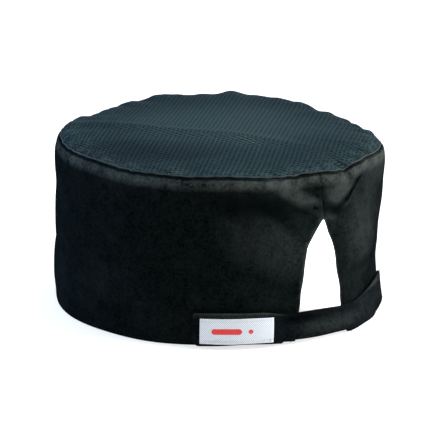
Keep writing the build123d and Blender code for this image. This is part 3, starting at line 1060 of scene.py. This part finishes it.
def makeLinings(feltMaterial, facingMaterial, towelMaterial, tapeMaterial, labelMaterial):
    f = linings
    low, high = f["feltLow"], f["feltHigh"]
    spread = {"grow": f["feltGrow"], "spacing": 3.2 * mm, "fine": 1.2 * mm, "rows": (26, 8)}
    felt = archSheet("interfacing", low, high, f["feltDepth"], **spread)
    weldSeam(felt)
    thicken(felt, f["feltThick"])
    finishPiece(felt, feltMaterial, ["band_interfacing"], "cap")

    # the facing follows the opening's outline, ten millimetres wide
    outline, normal = archOutline()
    wide = np.linspace(0.3 * mm, 9.8 * mm, 7)
    places = outline[:, None, :] + normal[:, None, :] * wide[None, :, None]
    height = np.maximum(places[..., 1], 0.6 * mm)
    facing = gridPiece("opening_lining", onWall(places[..., 0], height, f["facingDepth"]), places)
    weld(facing, 0.001 * mm)
    thicken(facing, f["facingThick"])
    finishPiece(facing, facingMaterial, ["opening_facing"], "cap")

    # sweatband: soft towelling between the two sides of the facing, with a thin stitched border
    start = opening["footHalf"] + f["towelInset"]
    along = np.linspace(start, girth - start, 260)
    towel = ribbon(
        "sweatband_towel",
        along,
        np.full_like(along, 0.6 * mm),
        np.full_like(along, 25.9 * mm),
        lambda a, z: -(1.5 + 1.75) * mm + wallShift(a / wallRadius, z),
        f["towelThick"],
        bulge=0.12 * mm,
        onCap=True,
    )
    finishPiece(towel, towelMaterial, ["sweatband"], "cap")
    border = ribbon(
        "sweatband_binding",
        along,
        np.full_like(along, 25.6 * mm),
        np.full_like(along, 28.5 * mm),
        lambda a, z: -(1.5 + 0.6) * mm + wallShift(a / wallRadius, z),
        0.55 * mm,
        onCap=True,
    )
    finishPiece(border, facingMaterial, ["sweatband"], "cap")

    around = np.linspace(0, girth, 200, endpoint=False)
    tape = ribbon(
        "seam_tape",
        around,
        np.full_like(around, f["tapeLow"]),
        np.full_like(around, f["tapeHigh"]),
        lambda a, z: wallShift(a / wallRadius, z) - f["tapeDepth"],
        f["tapeThick"],
        closed=True,
        onCap=True,
    )
    finishPiece(tape, tapeMaterial, ["crown_seam_tape"], "cap")

    middle, half = f["tagMiddle"], f["tagHalf"]
    along = np.linspace(middle - half, middle + half, 26)
    tag = ribbon(
        "care_tag",
        along,
        np.full_like(along, 60.3 * mm) + 0.3 * mm * np.sin(np.linspace(0, 3, 26)),
        np.full_like(along, 84.3 * mm),
        lambda a, z: -1.75 * mm + wallShift(a / wallRadius, z) - 0.6 * mm * ease((84 * mm - z) / (24 * mm)),
        f["tagThick"],
        rows=14,
        onCap=True,
    )
    finishPiece(tag, labelMaterial, ["care_label"], "cap")


def ribbon(
    name, along, low, high, inner, thick,
    bulge=0.0, dents=(), rows=10, closed=False, pinch=0.0, openEnd="", onCap=False,
):
    # a flat strip with rounded edges, run along the wall. inner(along, z) is how far its inner
    # face stands out from the wall's cylinder, and dents are rows sunk by stitches
    edge = thick / 2
    arc = np.linspace(-math.pi / 2, math.pi / 2, 5)
    face = np.linspace(0, 1, rows)
    if dents:
        face = np.sort(np.concatenate([face, *[np.array([d - 0.02, d, d + 0.02]) for d in dents]]))
        face = face[(face > 0) & (face < 1)]
        face = np.concatenate([[0], face, [1]])
    share = np.concatenate([face, face[-1:].repeat(3), face[::-1], face[:1].repeat(3)])
    out = np.concatenate([np.ones_like(face), np.sin(-arc[1:-1]), -np.ones_like(face), np.sin(arc[1:-1])])
    past = np.concatenate([0 * face, np.cos(arc[1:-1]), 0 * face, -np.cos(arc[1:-1])])
    dent = sum((bell(share - d, 0.035) for d in dents), 0 * share) * (out > 0.99)
    puff = bulge * np.sin(math.pi * share) - pinch * dent
    n = len(along)
    slim = np.ones(n)
    extra = np.zeros(n)
    if not closed:
        turn = np.radians([88, 60, 30, 0])
        first = turn if openEnd != "first" else turn[-1:]
        last = turn[::-1] if openEnd != "last" else turn[-1:]
        begin = along[0] + edge * (1 - np.sin(first)) * (openEnd != "first")
        finish = along[-1] - edge * (1 - np.sin(last)) * (openEnd != "last")
        places = np.concatenate([begin, along[1:-1], finish])
        low, high = np.interp(places, along, low), np.interp(places, along, high)
        slim = np.concatenate([np.cos(first), np.ones(n - 2), np.cos(last)])
        extra = edge * (1 - slim)
        along = places
    a = along[:, None] + 0 * share[None, :]
    bottom, top = (low + edge)[:, None], (high - edge)[:, None]
    z = bottom + (top - bottom) * share[None, :] + past[None, :] * edge
    z = z - extra[:, None] * np.sign(share - 0.5)[None, :]
    middle = inner(a, z) + edge
    radius = wallRadius + middle + out[None, :] * edge * slim[:, None] + puff[None, :] * (out > 0.5)[None, :]
    angle = a / wallRadius
    height = z + wallLift(angle, z) if onCap else z
    points = np.stack([radius * np.sin(angle), radius * np.cos(angle), height], -1)
    points = np.concatenate([points, points[:, :1]], 1)
    side = np.concatenate([share, share[:1]])
    tall = (high - low)[:, None] * side[None, :] + low[:, None]
    uv = np.stack([along[:, None] + 0 * side[None, :], tall], -1)
    piece = gridPiece(name, points, uv, closed=closed)
    weld(piece, 0.001 * mm)
    if not closed:
        capEnds(piece)
    return piece


def capEnds(piece):
    work = bmesh.new()
    work.from_mesh(piece.data)
    rim = [e for e in work.edges if e.is_boundary]
    bmesh.ops.holes_fill(work, edges=rim, sides=0)
    for edge in rim:
        edge.smooth = False
    bmesh.ops.recalc_face_normals(work, faces=work.faces)
    work.to_mesh(piece.data)
    work.free()


# Strap, tapes and label


def strapStand(along, z):
    # how far the strap's inner face stands out from the wall's cylinder
    s = strapShape
    span = (s["tabFold"] - s["anchorFold"]) / wallRadius
    tab, anchor = s["tabInner"], s["anchorInner"]
    shift = (tab**2 - anchor**2) / (2 * (tab - anchor * math.cos(span)))
    arc = tab - shift
    turn = np.clip((s["tabFold"] - along) / wallRadius, 0, span)
    arm = shift * np.cos(turn) + np.sqrt(arc**2 - (shift * np.sin(turn)) ** 2) - wallRadius
    sewn = ease((s["anchorFold"] - along) / (5 * mm)) * (anchor - wallRadius - 0.1 * mm)
    middle = (s["low"] + s["high"]) / 2
    lean = np.clip((s["high"] - z) / (s["high"] - s["low"]), 0, 1)
    flare = s["flare"] * bell(along - s["flareAt"], s["flareWide"]) * lean
    angle = along / wallRadius
    wall = np.maximum(wallShift(angle, middle), wallShift(angle, np.minimum(z, middle)))
    return arm - sewn + wall + flare


def strapLow(along):
    # the lower edge: level along the arm, a step down at the tab, a rounded free corner
    s = strapShape
    arm = s["low"] + 1.3 * mm + 1.6 * mm * ease((-along - 38 * mm) / (26 * mm))
    tab = s["low"] - 0.2 * mm + 1.1 * mm * bell(along - 46 * mm, 15 * mm)
    corner = 3.2 * mm * np.clip((along - 70.5 * mm) / (3.5 * mm), 0, 1) ** 2.5
    return arm + (tab - arm) * ease((along - 24.5 * mm) / (1.6 * mm)) + corner


def strapHigh(along):
    s = strapShape
    dip = -1.3 * mm * bell(along + 22 * mm, 14 * mm)
    climb = 1.9 * mm * ease((-along - 38 * mm) / (22 * mm)) - 3.6 * mm * ease((-along - 62 * mm) / (18 * mm))
    tab = 2.1 * mm * ease((along - 22 * mm) / (16 * mm))
    corner = -0.9 * mm * np.clip((along - 72.5 * mm) / (1.5 * mm), 0, 1) ** 2
    return s["high"] - 1.0 * mm + dip + climb + tab + corner


def onStrap(along, z, out):
    # a point of the strap, out from its inner face
    along, z, out = np.broadcast_arrays(along, z, out)
    radius = wallRadius + strapStand(along, z) + out
    angle = along / wallRadius
    return np.stack([radius * np.sin(angle), radius * np.cos(angle), z], -1)


def bendAt(fold, length):
    middle = (strapShape["low"] + strapShape["high"]) / 2
    start = onStrap(fold, middle, strapShape["thick"])
    end = onStrap(fold + length, middle, strapShape["thick"])
    return [Vector(p.tolist()) for p in (start, end)]


def blendTab(piece):
    start, end = bendAt(strapShape["tabFold"], strapShape["bendLength"])
    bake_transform(piece)


def blendArm(piece):
    start, end = bendAt(strapShape["anchorFold"], strapShape["bendLength"])
    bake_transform(piece)


def makeStrap(material):
    s = strapShape
    tall = s["high"] - s["low"]
    dents = (s["rowInset"] / tall, 1 - s["rowInset"] / tall)
    armNodes = ["strap_sewn_end", "strap_arm", "arm_core"]
    halves = (
        ("strap_anchor_half", s["sewnEnd"], s["join"], "last", armNodes, blendArm),
        ("strap_tab_half", s["join"], s["freeEnd"], "first", ["strap_tab", "tab_core"], blendTab),
    )
    for name, start, end, openEnd, nodes, blendHalf in halves:
        along = np.linspace(start, end, int((end - start) / (0.8 * mm)))
        strip = ribbon(
            name,
            along,
            strapLow(along),
            strapHigh(along),
            lambda a, z: strapStand(a, z) + 0.12 * mm * np.sin(a / (7 * mm)) * np.sin(z / (5 * mm)),
            s["thick"],
            bulge=0.18 * mm,
            dents=dents,
            rows=14,
            pinch=0.28 * mm,
            openEnd=openEnd,
        )
        finishPiece(strip, material, nodes)
        blendHalf(strip)


tapes = {
    "low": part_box("loop_tape")[0].z,
    "high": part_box("loop_tape")[1].z,
    "border": 1.6 * mm,
    "loopStart": 22.5 * mm,
    "hookStart": 32.5 * mm,
    "end": 72.5 * mm,
    "base": 0.4 * mm,
}


def pileFace(start, end, stand, onCap=False):
    # the face that the hooks or loops stand on
    t = tapes
    along = np.linspace(start + t["border"], end - t["border"], 40)
    z = np.linspace(t["low"] + t["border"], t["high"] - t["border"], 12)
    along, z = np.meshgrid(along, z, indexing="ij")
    angle = along / wallRadius
    radius = wallRadius + stand(along, z)
    height = z + wallLift(angle, z) if onCap else z
    points = np.stack([radius * np.sin(angle), radius * np.cos(angle), height], -1)
    return points, np.stack([along, z], -1)


def makeTapes(loopMaterial, hookMaterial, baseMaterial):
    t = tapes
    pile = pileTree()

    def loopBase(along, z):
        return wallShift(along / wallRadius, z) + 0.1 * mm

    def hookBase(along, z):
        return strapStand(along, z) - 0.1 * mm - t["base"]

    along = np.linspace(t["loopStart"], t["end"], 30)
    low, high = 0 * along + t["low"], 0 * along + t["high"]
    base = ribbon("loop_base", along, low, high, loopBase, t["base"], onCap=True)
    finishPiece(base, baseMaterial, ["loop_tape"], "cap")
    points, uv = pileFace(t["loopStart"], t["end"], lambda a, z: loopBase(a, z) + t["base"], True)
    face = gridPiece("loopFace", points, uv)
    weld(face)
    turnOutwards(face, 1)
    values = {"Spacing": 0.75 * mm, "Height": 0.55 * mm, "Seed": 5, "Open": 5.2, "Material": loopMaterial}
    loops = pile.run("loop_pile_threads", face.data, values)
    bpy.data.objects.remove(face)
    finishPiece(loops, loopMaterial, ["loop_tape"], "cap")

    along = np.linspace(t["hookStart"], t["end"], 26)
    base = ribbon("hook_base", along, 0 * along + t["low"], 0 * along + t["high"], hookBase, t["base"])
    finishPiece(base, baseMaterial, ["hook_tape"])
    blendTab(base)
    points, uv = pileFace(t["hookStart"], t["end"], hookBase)
    face = gridPiece("hookFace", points, uv)
    weld(face)
    turnOutwards(face, -1)
    values = {"Spacing": 1.15 * mm, "Height": 0.50 * mm, "Seed": 9, "Open": 3.9, "Material": hookMaterial}
    hooks = pile.run("hook_pile_threads", face.data, values)
    bpy.data.objects.remove(face)
    finishPiece(hooks, hookMaterial, ["hook_tape"])
    blendTab(hooks)


def turnOutwards(piece, side):
    # faces look away from the cap's axis, or towards it with side -1
    work = bmesh.new()
    work.from_mesh(piece.data)
    for face in work.faces:
        middle = face.calc_center_median()
        outward = Vector((middle.x, middle.y, 0)).normalized()
        if face.normal.dot(outward) * side < 0:
            face.normal_flip()
    work.to_mesh(piece.data)
    work.free()


label = {
    "start": 31.1 * mm,
    "end": 70.1 * mm,
    "low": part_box("woven_label")[0].z,
    "high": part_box("woven_label")[1].z,
    "thick": 0.5 * mm,
    "rowInset": 1.5 * mm,
}


def makeLabel(material):
    s = label
    tall = s["high"] - s["low"]
    dents = (s["rowInset"] / tall, 1 - s["rowInset"] / tall)
    along = np.linspace(s["start"], s["end"], 44)
    wave = 0.15 * mm * np.sin(along / (5.3 * mm))
    tag = ribbon(
        "label_tag",
        along,
        s["low"] + wave,
        s["high"] + 0.7 * wave,
        lambda a, z: strapStand(a, z) + strapShape["thick"] + 0.12 * mm,
        s["thick"],
        bulge=0.30 * mm,
        dents=dents,
        rows=14,
        pinch=0.18 * mm,
    )
    finishPiece(tag, material, ["woven_label"])
    blendTab(tag)


# Sewing thread

sewing = {
    "step": 2.6 * mm,
    "length": 2.3 * mm,
    "thread": 0.42 * mm,
    "sink": 0.04 * mm,
}


def stitchPiece(name, node, rows, material, slot, step=None, length=None, thread=None):
    mesh = bpy.data.meshes.new(name)
    points, edges = [], []
    for row in rows:
        start = len(points)
        points += row.tolist()
        edges += [(k, k + 1) for k in range(start, len(points) - 1)]
    mesh.from_pydata(points, edges, [])
    values = {
        "Step": step or sewing["step"],
        "Length": length or sewing["length"],
        "Thread": thread or sewing["thread"],
        "Material": material,
    }
    piece = stitching.run(name, mesh, values)
    return finishPiece(piece, material, [node])


def boxRow(onFace, start, end, low, high, inset):
    # one closed row round a patch of the strap or the wall
    start, end, low, high = start + inset, end - inset, low + inset, high - inset
    along = np.linspace(start, end, 40)
    z = np.linspace(low, high, 14)
    sides = [
        onFace(along, 0 * along + low),
        onFace(0 * z + end, z)[1:],
        onFace(along[::-1], 0 * along + high)[1:],
        onFace(0 * z + start, z[::-1])[1:],
    ]
    return np.concatenate(sides)


def makeStitches(black, pale):
    s, tape = strapShape, tapes

    def onOuterWall(along, z):
        return onWall(along, z, -sewing["sink"])

    def onStrapFace(along, z):
        return onStrap(along, z, s["thick"] + 0.02 * mm)

    def onLabelFace(along, z):
        return onStrap(along, z, s["thick"] + 0.12 * mm + label["thick"] + 0.05 * mm)

    outline, normal = archOutline()
    edge = outline + normal * 2.1 * mm
    inside = edge[:, 1] > 0.8 * mm
    row = onOuterWall(edge[inside, 0], edge[inside, 1])
    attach(stitchPiece("opening_thread", "opening_stitches", [row], black, "black_thread"), "cap")

    along = np.linspace(s["freeEnd"] + 2 * mm, girth + s["sewnEnd"] - 2 * mm, 300)
    row = onOuterWall(along, 0 * along + 3.2 * mm)
    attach(stitchPiece("hem_thread", "hem_stitches", [row], black, "black_thread"), "cap")

    bars = []
    for place in np.linspace(-5.8 * mm, 5.8 * mm, 36):
        z = np.array([72.7, 74.2]) * mm
        bars.append(onWall(place + np.array([0, 0.25 * mm]), z, -0.25 * mm))
    sizes = (0.75 * mm, 1.2 * mm, 0.5 * mm)
    tack = stitchPiece("bartack_thread", "bartack", bars, black, "black_thread", *sizes)
    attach(tack, "cap")

    row = boxRow(
        lambda a, z: onWall(a, z, -(0.1 + 0.4) * mm - 0.05 * mm),
        tape["loopStart"], tape["end"], tape["low"], tape["high"], 0.8 * mm,
    )
    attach(stitchPiece("loop_thread", "loop_tape_stitches", [row], black, "black_thread"), "cap")

    row = boxRow(
        lambda a, z: onStrap(a, z, -0.1 * mm - tape["base"] - 0.05 * mm),
        tape["hookStart"], tape["end"], tape["low"], tape["high"], 0.8 * mm,
    )
    blendTab(stitchPiece("hook_thread", "hook_tape_stitches", [row], black, "black_thread"))

    start, end = s["sewnEnd"], s["anchorFold"] - 0.4 * mm
    low, high = strapLow(np.array(end)), strapHigh(np.array(end))
    box = boxRow(onStrapFace, start, end, low, high, 1.6 * mm)
    cross = []
    for first, last in ((low, high), (high, low)):
        along = np.linspace(start + 1.6 * mm, end - 1.6 * mm, 12)
        gap = math.copysign(1.6 * mm, last - first)
        cross.append(onStrapFace(along, np.linspace(first + gap, last - gap, 12)))
    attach(stitchPiece("anchor_thread", "anchor_stitches", [box, *cross], black, "black_thread"), "cap")

    along = np.linspace(s["anchorFold"] + 1 * mm, s["tabFold"], 90)
    inset = s["rowInset"]
    rows = [onStrapFace(along, z) for z in (strapLow(along) + inset, strapHigh(along) - inset)]
    middle = along < s["join"]
    near, far = [r[middle] for r in rows], [r[~middle] for r in rows]
    blendArm(stitchPiece("arm_thread_anchor", "arm_edge_stitches", near, black, "black_thread"))
    blendTab(stitchPiece("arm_thread_tab", "arm_edge_stitches", far, black, "black_thread"))

    along = np.linspace(s["tabFold"], s["freeEnd"] - inset, 60)
    low, high = strapLow(along) + inset, strapHigh(along) - inset
    z = np.linspace(low[-1], high[-1], 14)
    row = np.concatenate(
        [onStrapFace(along, low), onStrapFace(0 * z + along[-1], z)[1:], onStrapFace(along, high)[::-1][1:]]
    )
    blendTab(stitchPiece("tab_thread", "tab_edge_stitches", [row], black, "black_thread"))

    row = boxRow(onLabelFace, label["start"], label["end"], label["low"], label["high"], label["rowInset"])
    sizes = (1.9 * mm, 1.5 * mm, 0.34 * mm)
    blendTab(stitchPiece("label_thread", "label_stitches", [row], pale, "label_thread", *sizes))

    start = opening["footHalf"] + 11 * mm
    along = np.linspace(start, girth - start, 300)
    row = onWall(along, 0 * along + 27.3 * mm, 2.12 * mm)
    sizes = (3 * mm, 2.6 * mm)
    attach(stitchPiece("sweatband_thread", "sweatband_stitches", [row], pale, "label_thread", *sizes), "cap")

    along = np.linspace(0, girth, 300)
    rows = [onWall(along, 0 * along + z * mm, 2.02 * mm) for z in (85.4, 93.2)]
    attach(stitchPiece("seam_tape_thread", "seam_tape_stitches", rows, black, "black_thread", *sizes), "cap")


stitching = stitchTree()


# Build

twill = makeTwill("sideTwill", twillLook)
strapTwill = makeTwill("strapTwill", strapLook)
foldMaterial = makePlainWeave("crownFold", 0.5 * mm, crownLook["dark"], crownLook["fade"], 0.9, 0.01)
crownMaterial = makeCrownMesh("crownMesh", crownLook)
felt = makeFuzzy("bonding", rgb(0.20, 0.21, 0.21), rgb(0.34, 0.35, 0.35), 1400.0, 0.12 * mm)
facingCloth = makePlainWeave("facingCotton", 0.45 * mm, rgb(0.50, 0.51, 0.50), rgb(0.74, 0.74, 0.72))
towel = makeFuzzy("towelling", rgb(0.60, 0.60, 0.57), rgb(0.86, 0.86, 0.83), 900.0, 0.35 * mm)
seamTape = makePlainWeave("seamTape", 0.5 * mm, rgb(0.015, 0.018, 0.021), rgb(0.045, 0.05, 0.055))
careTones = rgb(0.62, 0.62, 0.62), rgb(0.82, 0.82, 0.82)
careSatin = makePlainWeave("careSatin", 0.25 * mm, *careTones, 0.45, 0.2, 0.2)
loopThreads = makeFuzzy("loopThreads", rgb(0.006, 0.007, 0.009), rgb(0.022, 0.025, 0.028), 1800.0, 0.1 * mm)
hookThreads = makeThread("hookThreads", rgb(0.010, 0.011, 0.013), rgb(0.030, 0.032, 0.036), 0.35)
tapeBase = makePlainWeave("tapeBase", 0.4 * mm, rgb(0.006, 0.007, 0.008), rgb(0.020, 0.022, 0.025))
labelWeave = makeLabelWeave(
    "labelWeave",
    labelLook,
    (label["low"] + label["high"]) / 2,
    (label["high"] - label["low"]) / 2,
    label["start"],
    label["end"],
)
blackThread = makeThread("blackThread", rgb(0.0012, 0.0016, 0.0020), rgb(0.0075, 0.0090, 0.0100), 0.8, 0.005)
paleThread = makeThread("paleThread", rgb(0.40, 0.43, 0.48), rgb(0.66, 0.68, 0.72))
print("materials made")

makeCrown(crownMaterial, foldMaterial, blackThread)
print("crown laid")
makeBand(twill)
print("side band made")
makeLinings(felt, facingCloth, towel, seamTape, careSatin)
print("linings made")
makeStrap(strapTwill)
makeTapes(loopThreads, hookThreads, tapeBase)
makeLabel(labelWeave)
print("strap, tapes and label made")
makeStitches(blackThread, paleThread)
print("stitches sewn")


# Studio

studio = {
    "floorSize": 6.0,
    "floorBend": 0.9,
    "floorBack": 1.6,
    "floorGlow": 0.66,
    "skyStrength": 0.15,
    # soft boxes: name, turn from the camera, height and distance, width, height, watts, colour
    "boxes": (
        ("keyBox", 84, 28, 1.5, 0.8, 0.8, 44, (1.0, 1.0, 0.97)),
        ("topBox", 150, 80, 1.6, 1.4, 1.2, 24, (0.97, 0.99, 1.0)),
        ("sideBox", -98, 20, 1.5, 0.7, 1.2, 28, (0.30, 0.60, 1.0)),
        ("frontFill", -4, 30, 2.4, 0.6, 0.6, 7, (1, 1, 1)),
    ),
    "beams": 7,
    "beamLow": 18.0 * mm,
    "beamHigh": 69.0 * mm,
    "beamGap": 0.7 * mm,
    "beamAway": 0.14,
    "beamStrength": 60.0,  # watts over each square metre
    "beamSpread": 1.2,
    "distance": 1.235,
    "azimuth": 143.4,
    "elevation": 17.0,
    "roll": 0.88,
    "lens": 171.9,
    "aimHeight": 44.0 * mm,
    "aimAside": 0.3 * mm,
}


def makeFloor():
    # one sheet: floor, then a wide curve up to a back wall behind the cap
    s = Surface("floorPaper")
    patch = s.noise(s.place(), 3.0, 3.0)
    grain = s.noise(s.place(), 700.0, 2.0)
    colour = s.mix(patch * 0.5 + grain * 0.5, rgb(0.43, 0.43, 0.43), rgb(0.47, 0.47, 0.47))
    material = s.shade(colour, 0.95, s.bump(grain, 0.05 * mm, 0.2), 0.0, (1, 1, 1), 0.1)
    # a floor lit from below, which keeps the shadows faint
    shader = s.sink.inputs["Surface"].links[0].from_node
    shader.inputs["Emission Color"].default_value = rgb(1, 1, 1)
    shader.inputs["Emission Strength"].default_value = studio["floorGlow"]
    turn = math.radians(studio["azimuth"])
    away = Vector((-math.sin(turn), math.cos(turn), 0))
    side = Vector((math.cos(turn), math.sin(turn), 0))
    bend, back = studio["floorBend"], studio["floorBack"]
    profile = [(-3.0, 0.0), (-1.0, 0.0), (0.5, 0.0), (back, 0.0)]
    turns = np.linspace(0.1, math.pi / 2, 14)
    profile += [(back + bend * math.sin(a), bend * (1 - math.cos(a))) for a in turns]
    profile += [(back + bend, 3.5)]
    across = np.linspace(-studio["floorSize"] / 2, studio["floorSize"] / 2, 9)
    rows = [[away * d + side * x + Vector((0, 0, z)) for x in across] for d, z in profile]
    points = np.array([[list(p) for p in row] for row in rows])
    uv = points[..., :2].copy()
    floor = gridPiece("studio_floor", points, uv)
    weld(floor)
    floor.data.materials.append(material)
    floor.data.shade_smooth()


def areaLight(name, place, target, width, height, power, colour=(1, 1, 1)):
    lamp = bpy.data.lights.new(name, "AREA")
    lamp.shape = "RECTANGLE"
    lamp.size, lamp.size_y = width, height
    lamp.energy = power
    lamp.color = colour
    holder = newObject(name, lamp)
    holder.location = place
    holder.rotation_mode = "QUATERNION"
    holder.rotation_quaternion = (Vector(target) - Vector(place)).to_track_quat("-Z", "Y")
    return holder


def viewVector(azimuth, elevation):
    a, e = math.radians(azimuth), math.radians(elevation)
    return Vector((math.sin(a) * math.cos(e), -math.cos(a) * math.cos(e), math.sin(e)))


def makeLights():
    middle = (0, 0, wallHeight / 2)
    az = studio["azimuth"]
    for name, turn, rise, distance, width, height, power, colour in studio["boxes"]:
        areaLight(name, viewVector(az + turn, rise) * distance, middle, width, height, power, colour)
    # narrow beams in through the rear opening, so that the light lining behind it shows
    levels = np.linspace(studio["beamLow"], studio["beamHigh"], studio["beams"] + 1)
    rightwards = Vector((math.cos(math.radians(az)), math.sin(math.radians(az)), 0))
    for number, (low, high) in enumerate(zip(levels[:-1], levels[1:])):
        z = (low + high) / 2
        sides = [Vector(onWall(side * archHalf(z), z, 0.0).tolist()) for side in (-1, 1)]
        through = (sides[0] + sides[1]) / 2
        wide = abs((sides[0] - sides[1]).dot(rightwards)) - 2 * studio["beamGap"]
        tall = (high - low) * math.cos(math.radians(studio["elevation"]))
        power = studio["beamStrength"] * wide * tall
        place = through + (cameraPlace() - through).normalized() * studio["beamAway"]
        beam = areaLight(f"openingBeam{number}", place, through, wide, tall, power)
        beam.data.spread = math.radians(studio["beamSpread"])
        beam.visible_camera = False
    world = bpy.data.worlds.new("studio")
    bpy.context.scene.world = world
    world.use_nodes = True
    sky = world.node_tree.nodes["Background"]
    sky.inputs["Color"].default_value = (1, 1, 1, 1)
    sky.inputs["Strength"].default_value = studio["skyStrength"]


def cameraPlace():
    turn = math.radians(studio["azimuth"])
    right = Vector((math.cos(turn), math.sin(turn), 0))
    aim = Vector((0, 0, studio["aimHeight"])) + right * studio["aimAside"]
    return aim + viewVector(studio["azimuth"], studio["elevation"]) * studio["distance"]


def makeCamera():
    data = bpy.data.cameras.new("studioCamera")
    camera = newObject("studioCamera", data)
    data.lens = studio["lens"]
    data.sensor_width = 36.0
    data.clip_start, data.clip_end = 0.05, 50
    back = viewVector(studio["azimuth"], studio["elevation"])
    camera.rotation_mode = "QUATERNION"
    roll = Matrix.Rotation(math.radians(studio["roll"]), 3, "Z")
    turn = (-back).to_track_quat("-Z", "Y").to_matrix() @ roll
    camera.rotation_quaternion = turn.to_quaternion()
    camera.location = cameraPlace()
    bpy.context.scene.camera = camera


makeFloor()
makeLights()
makeCamera()
bpy.context.scene.view_settings.view_transform = "Standard"
print("studio set")
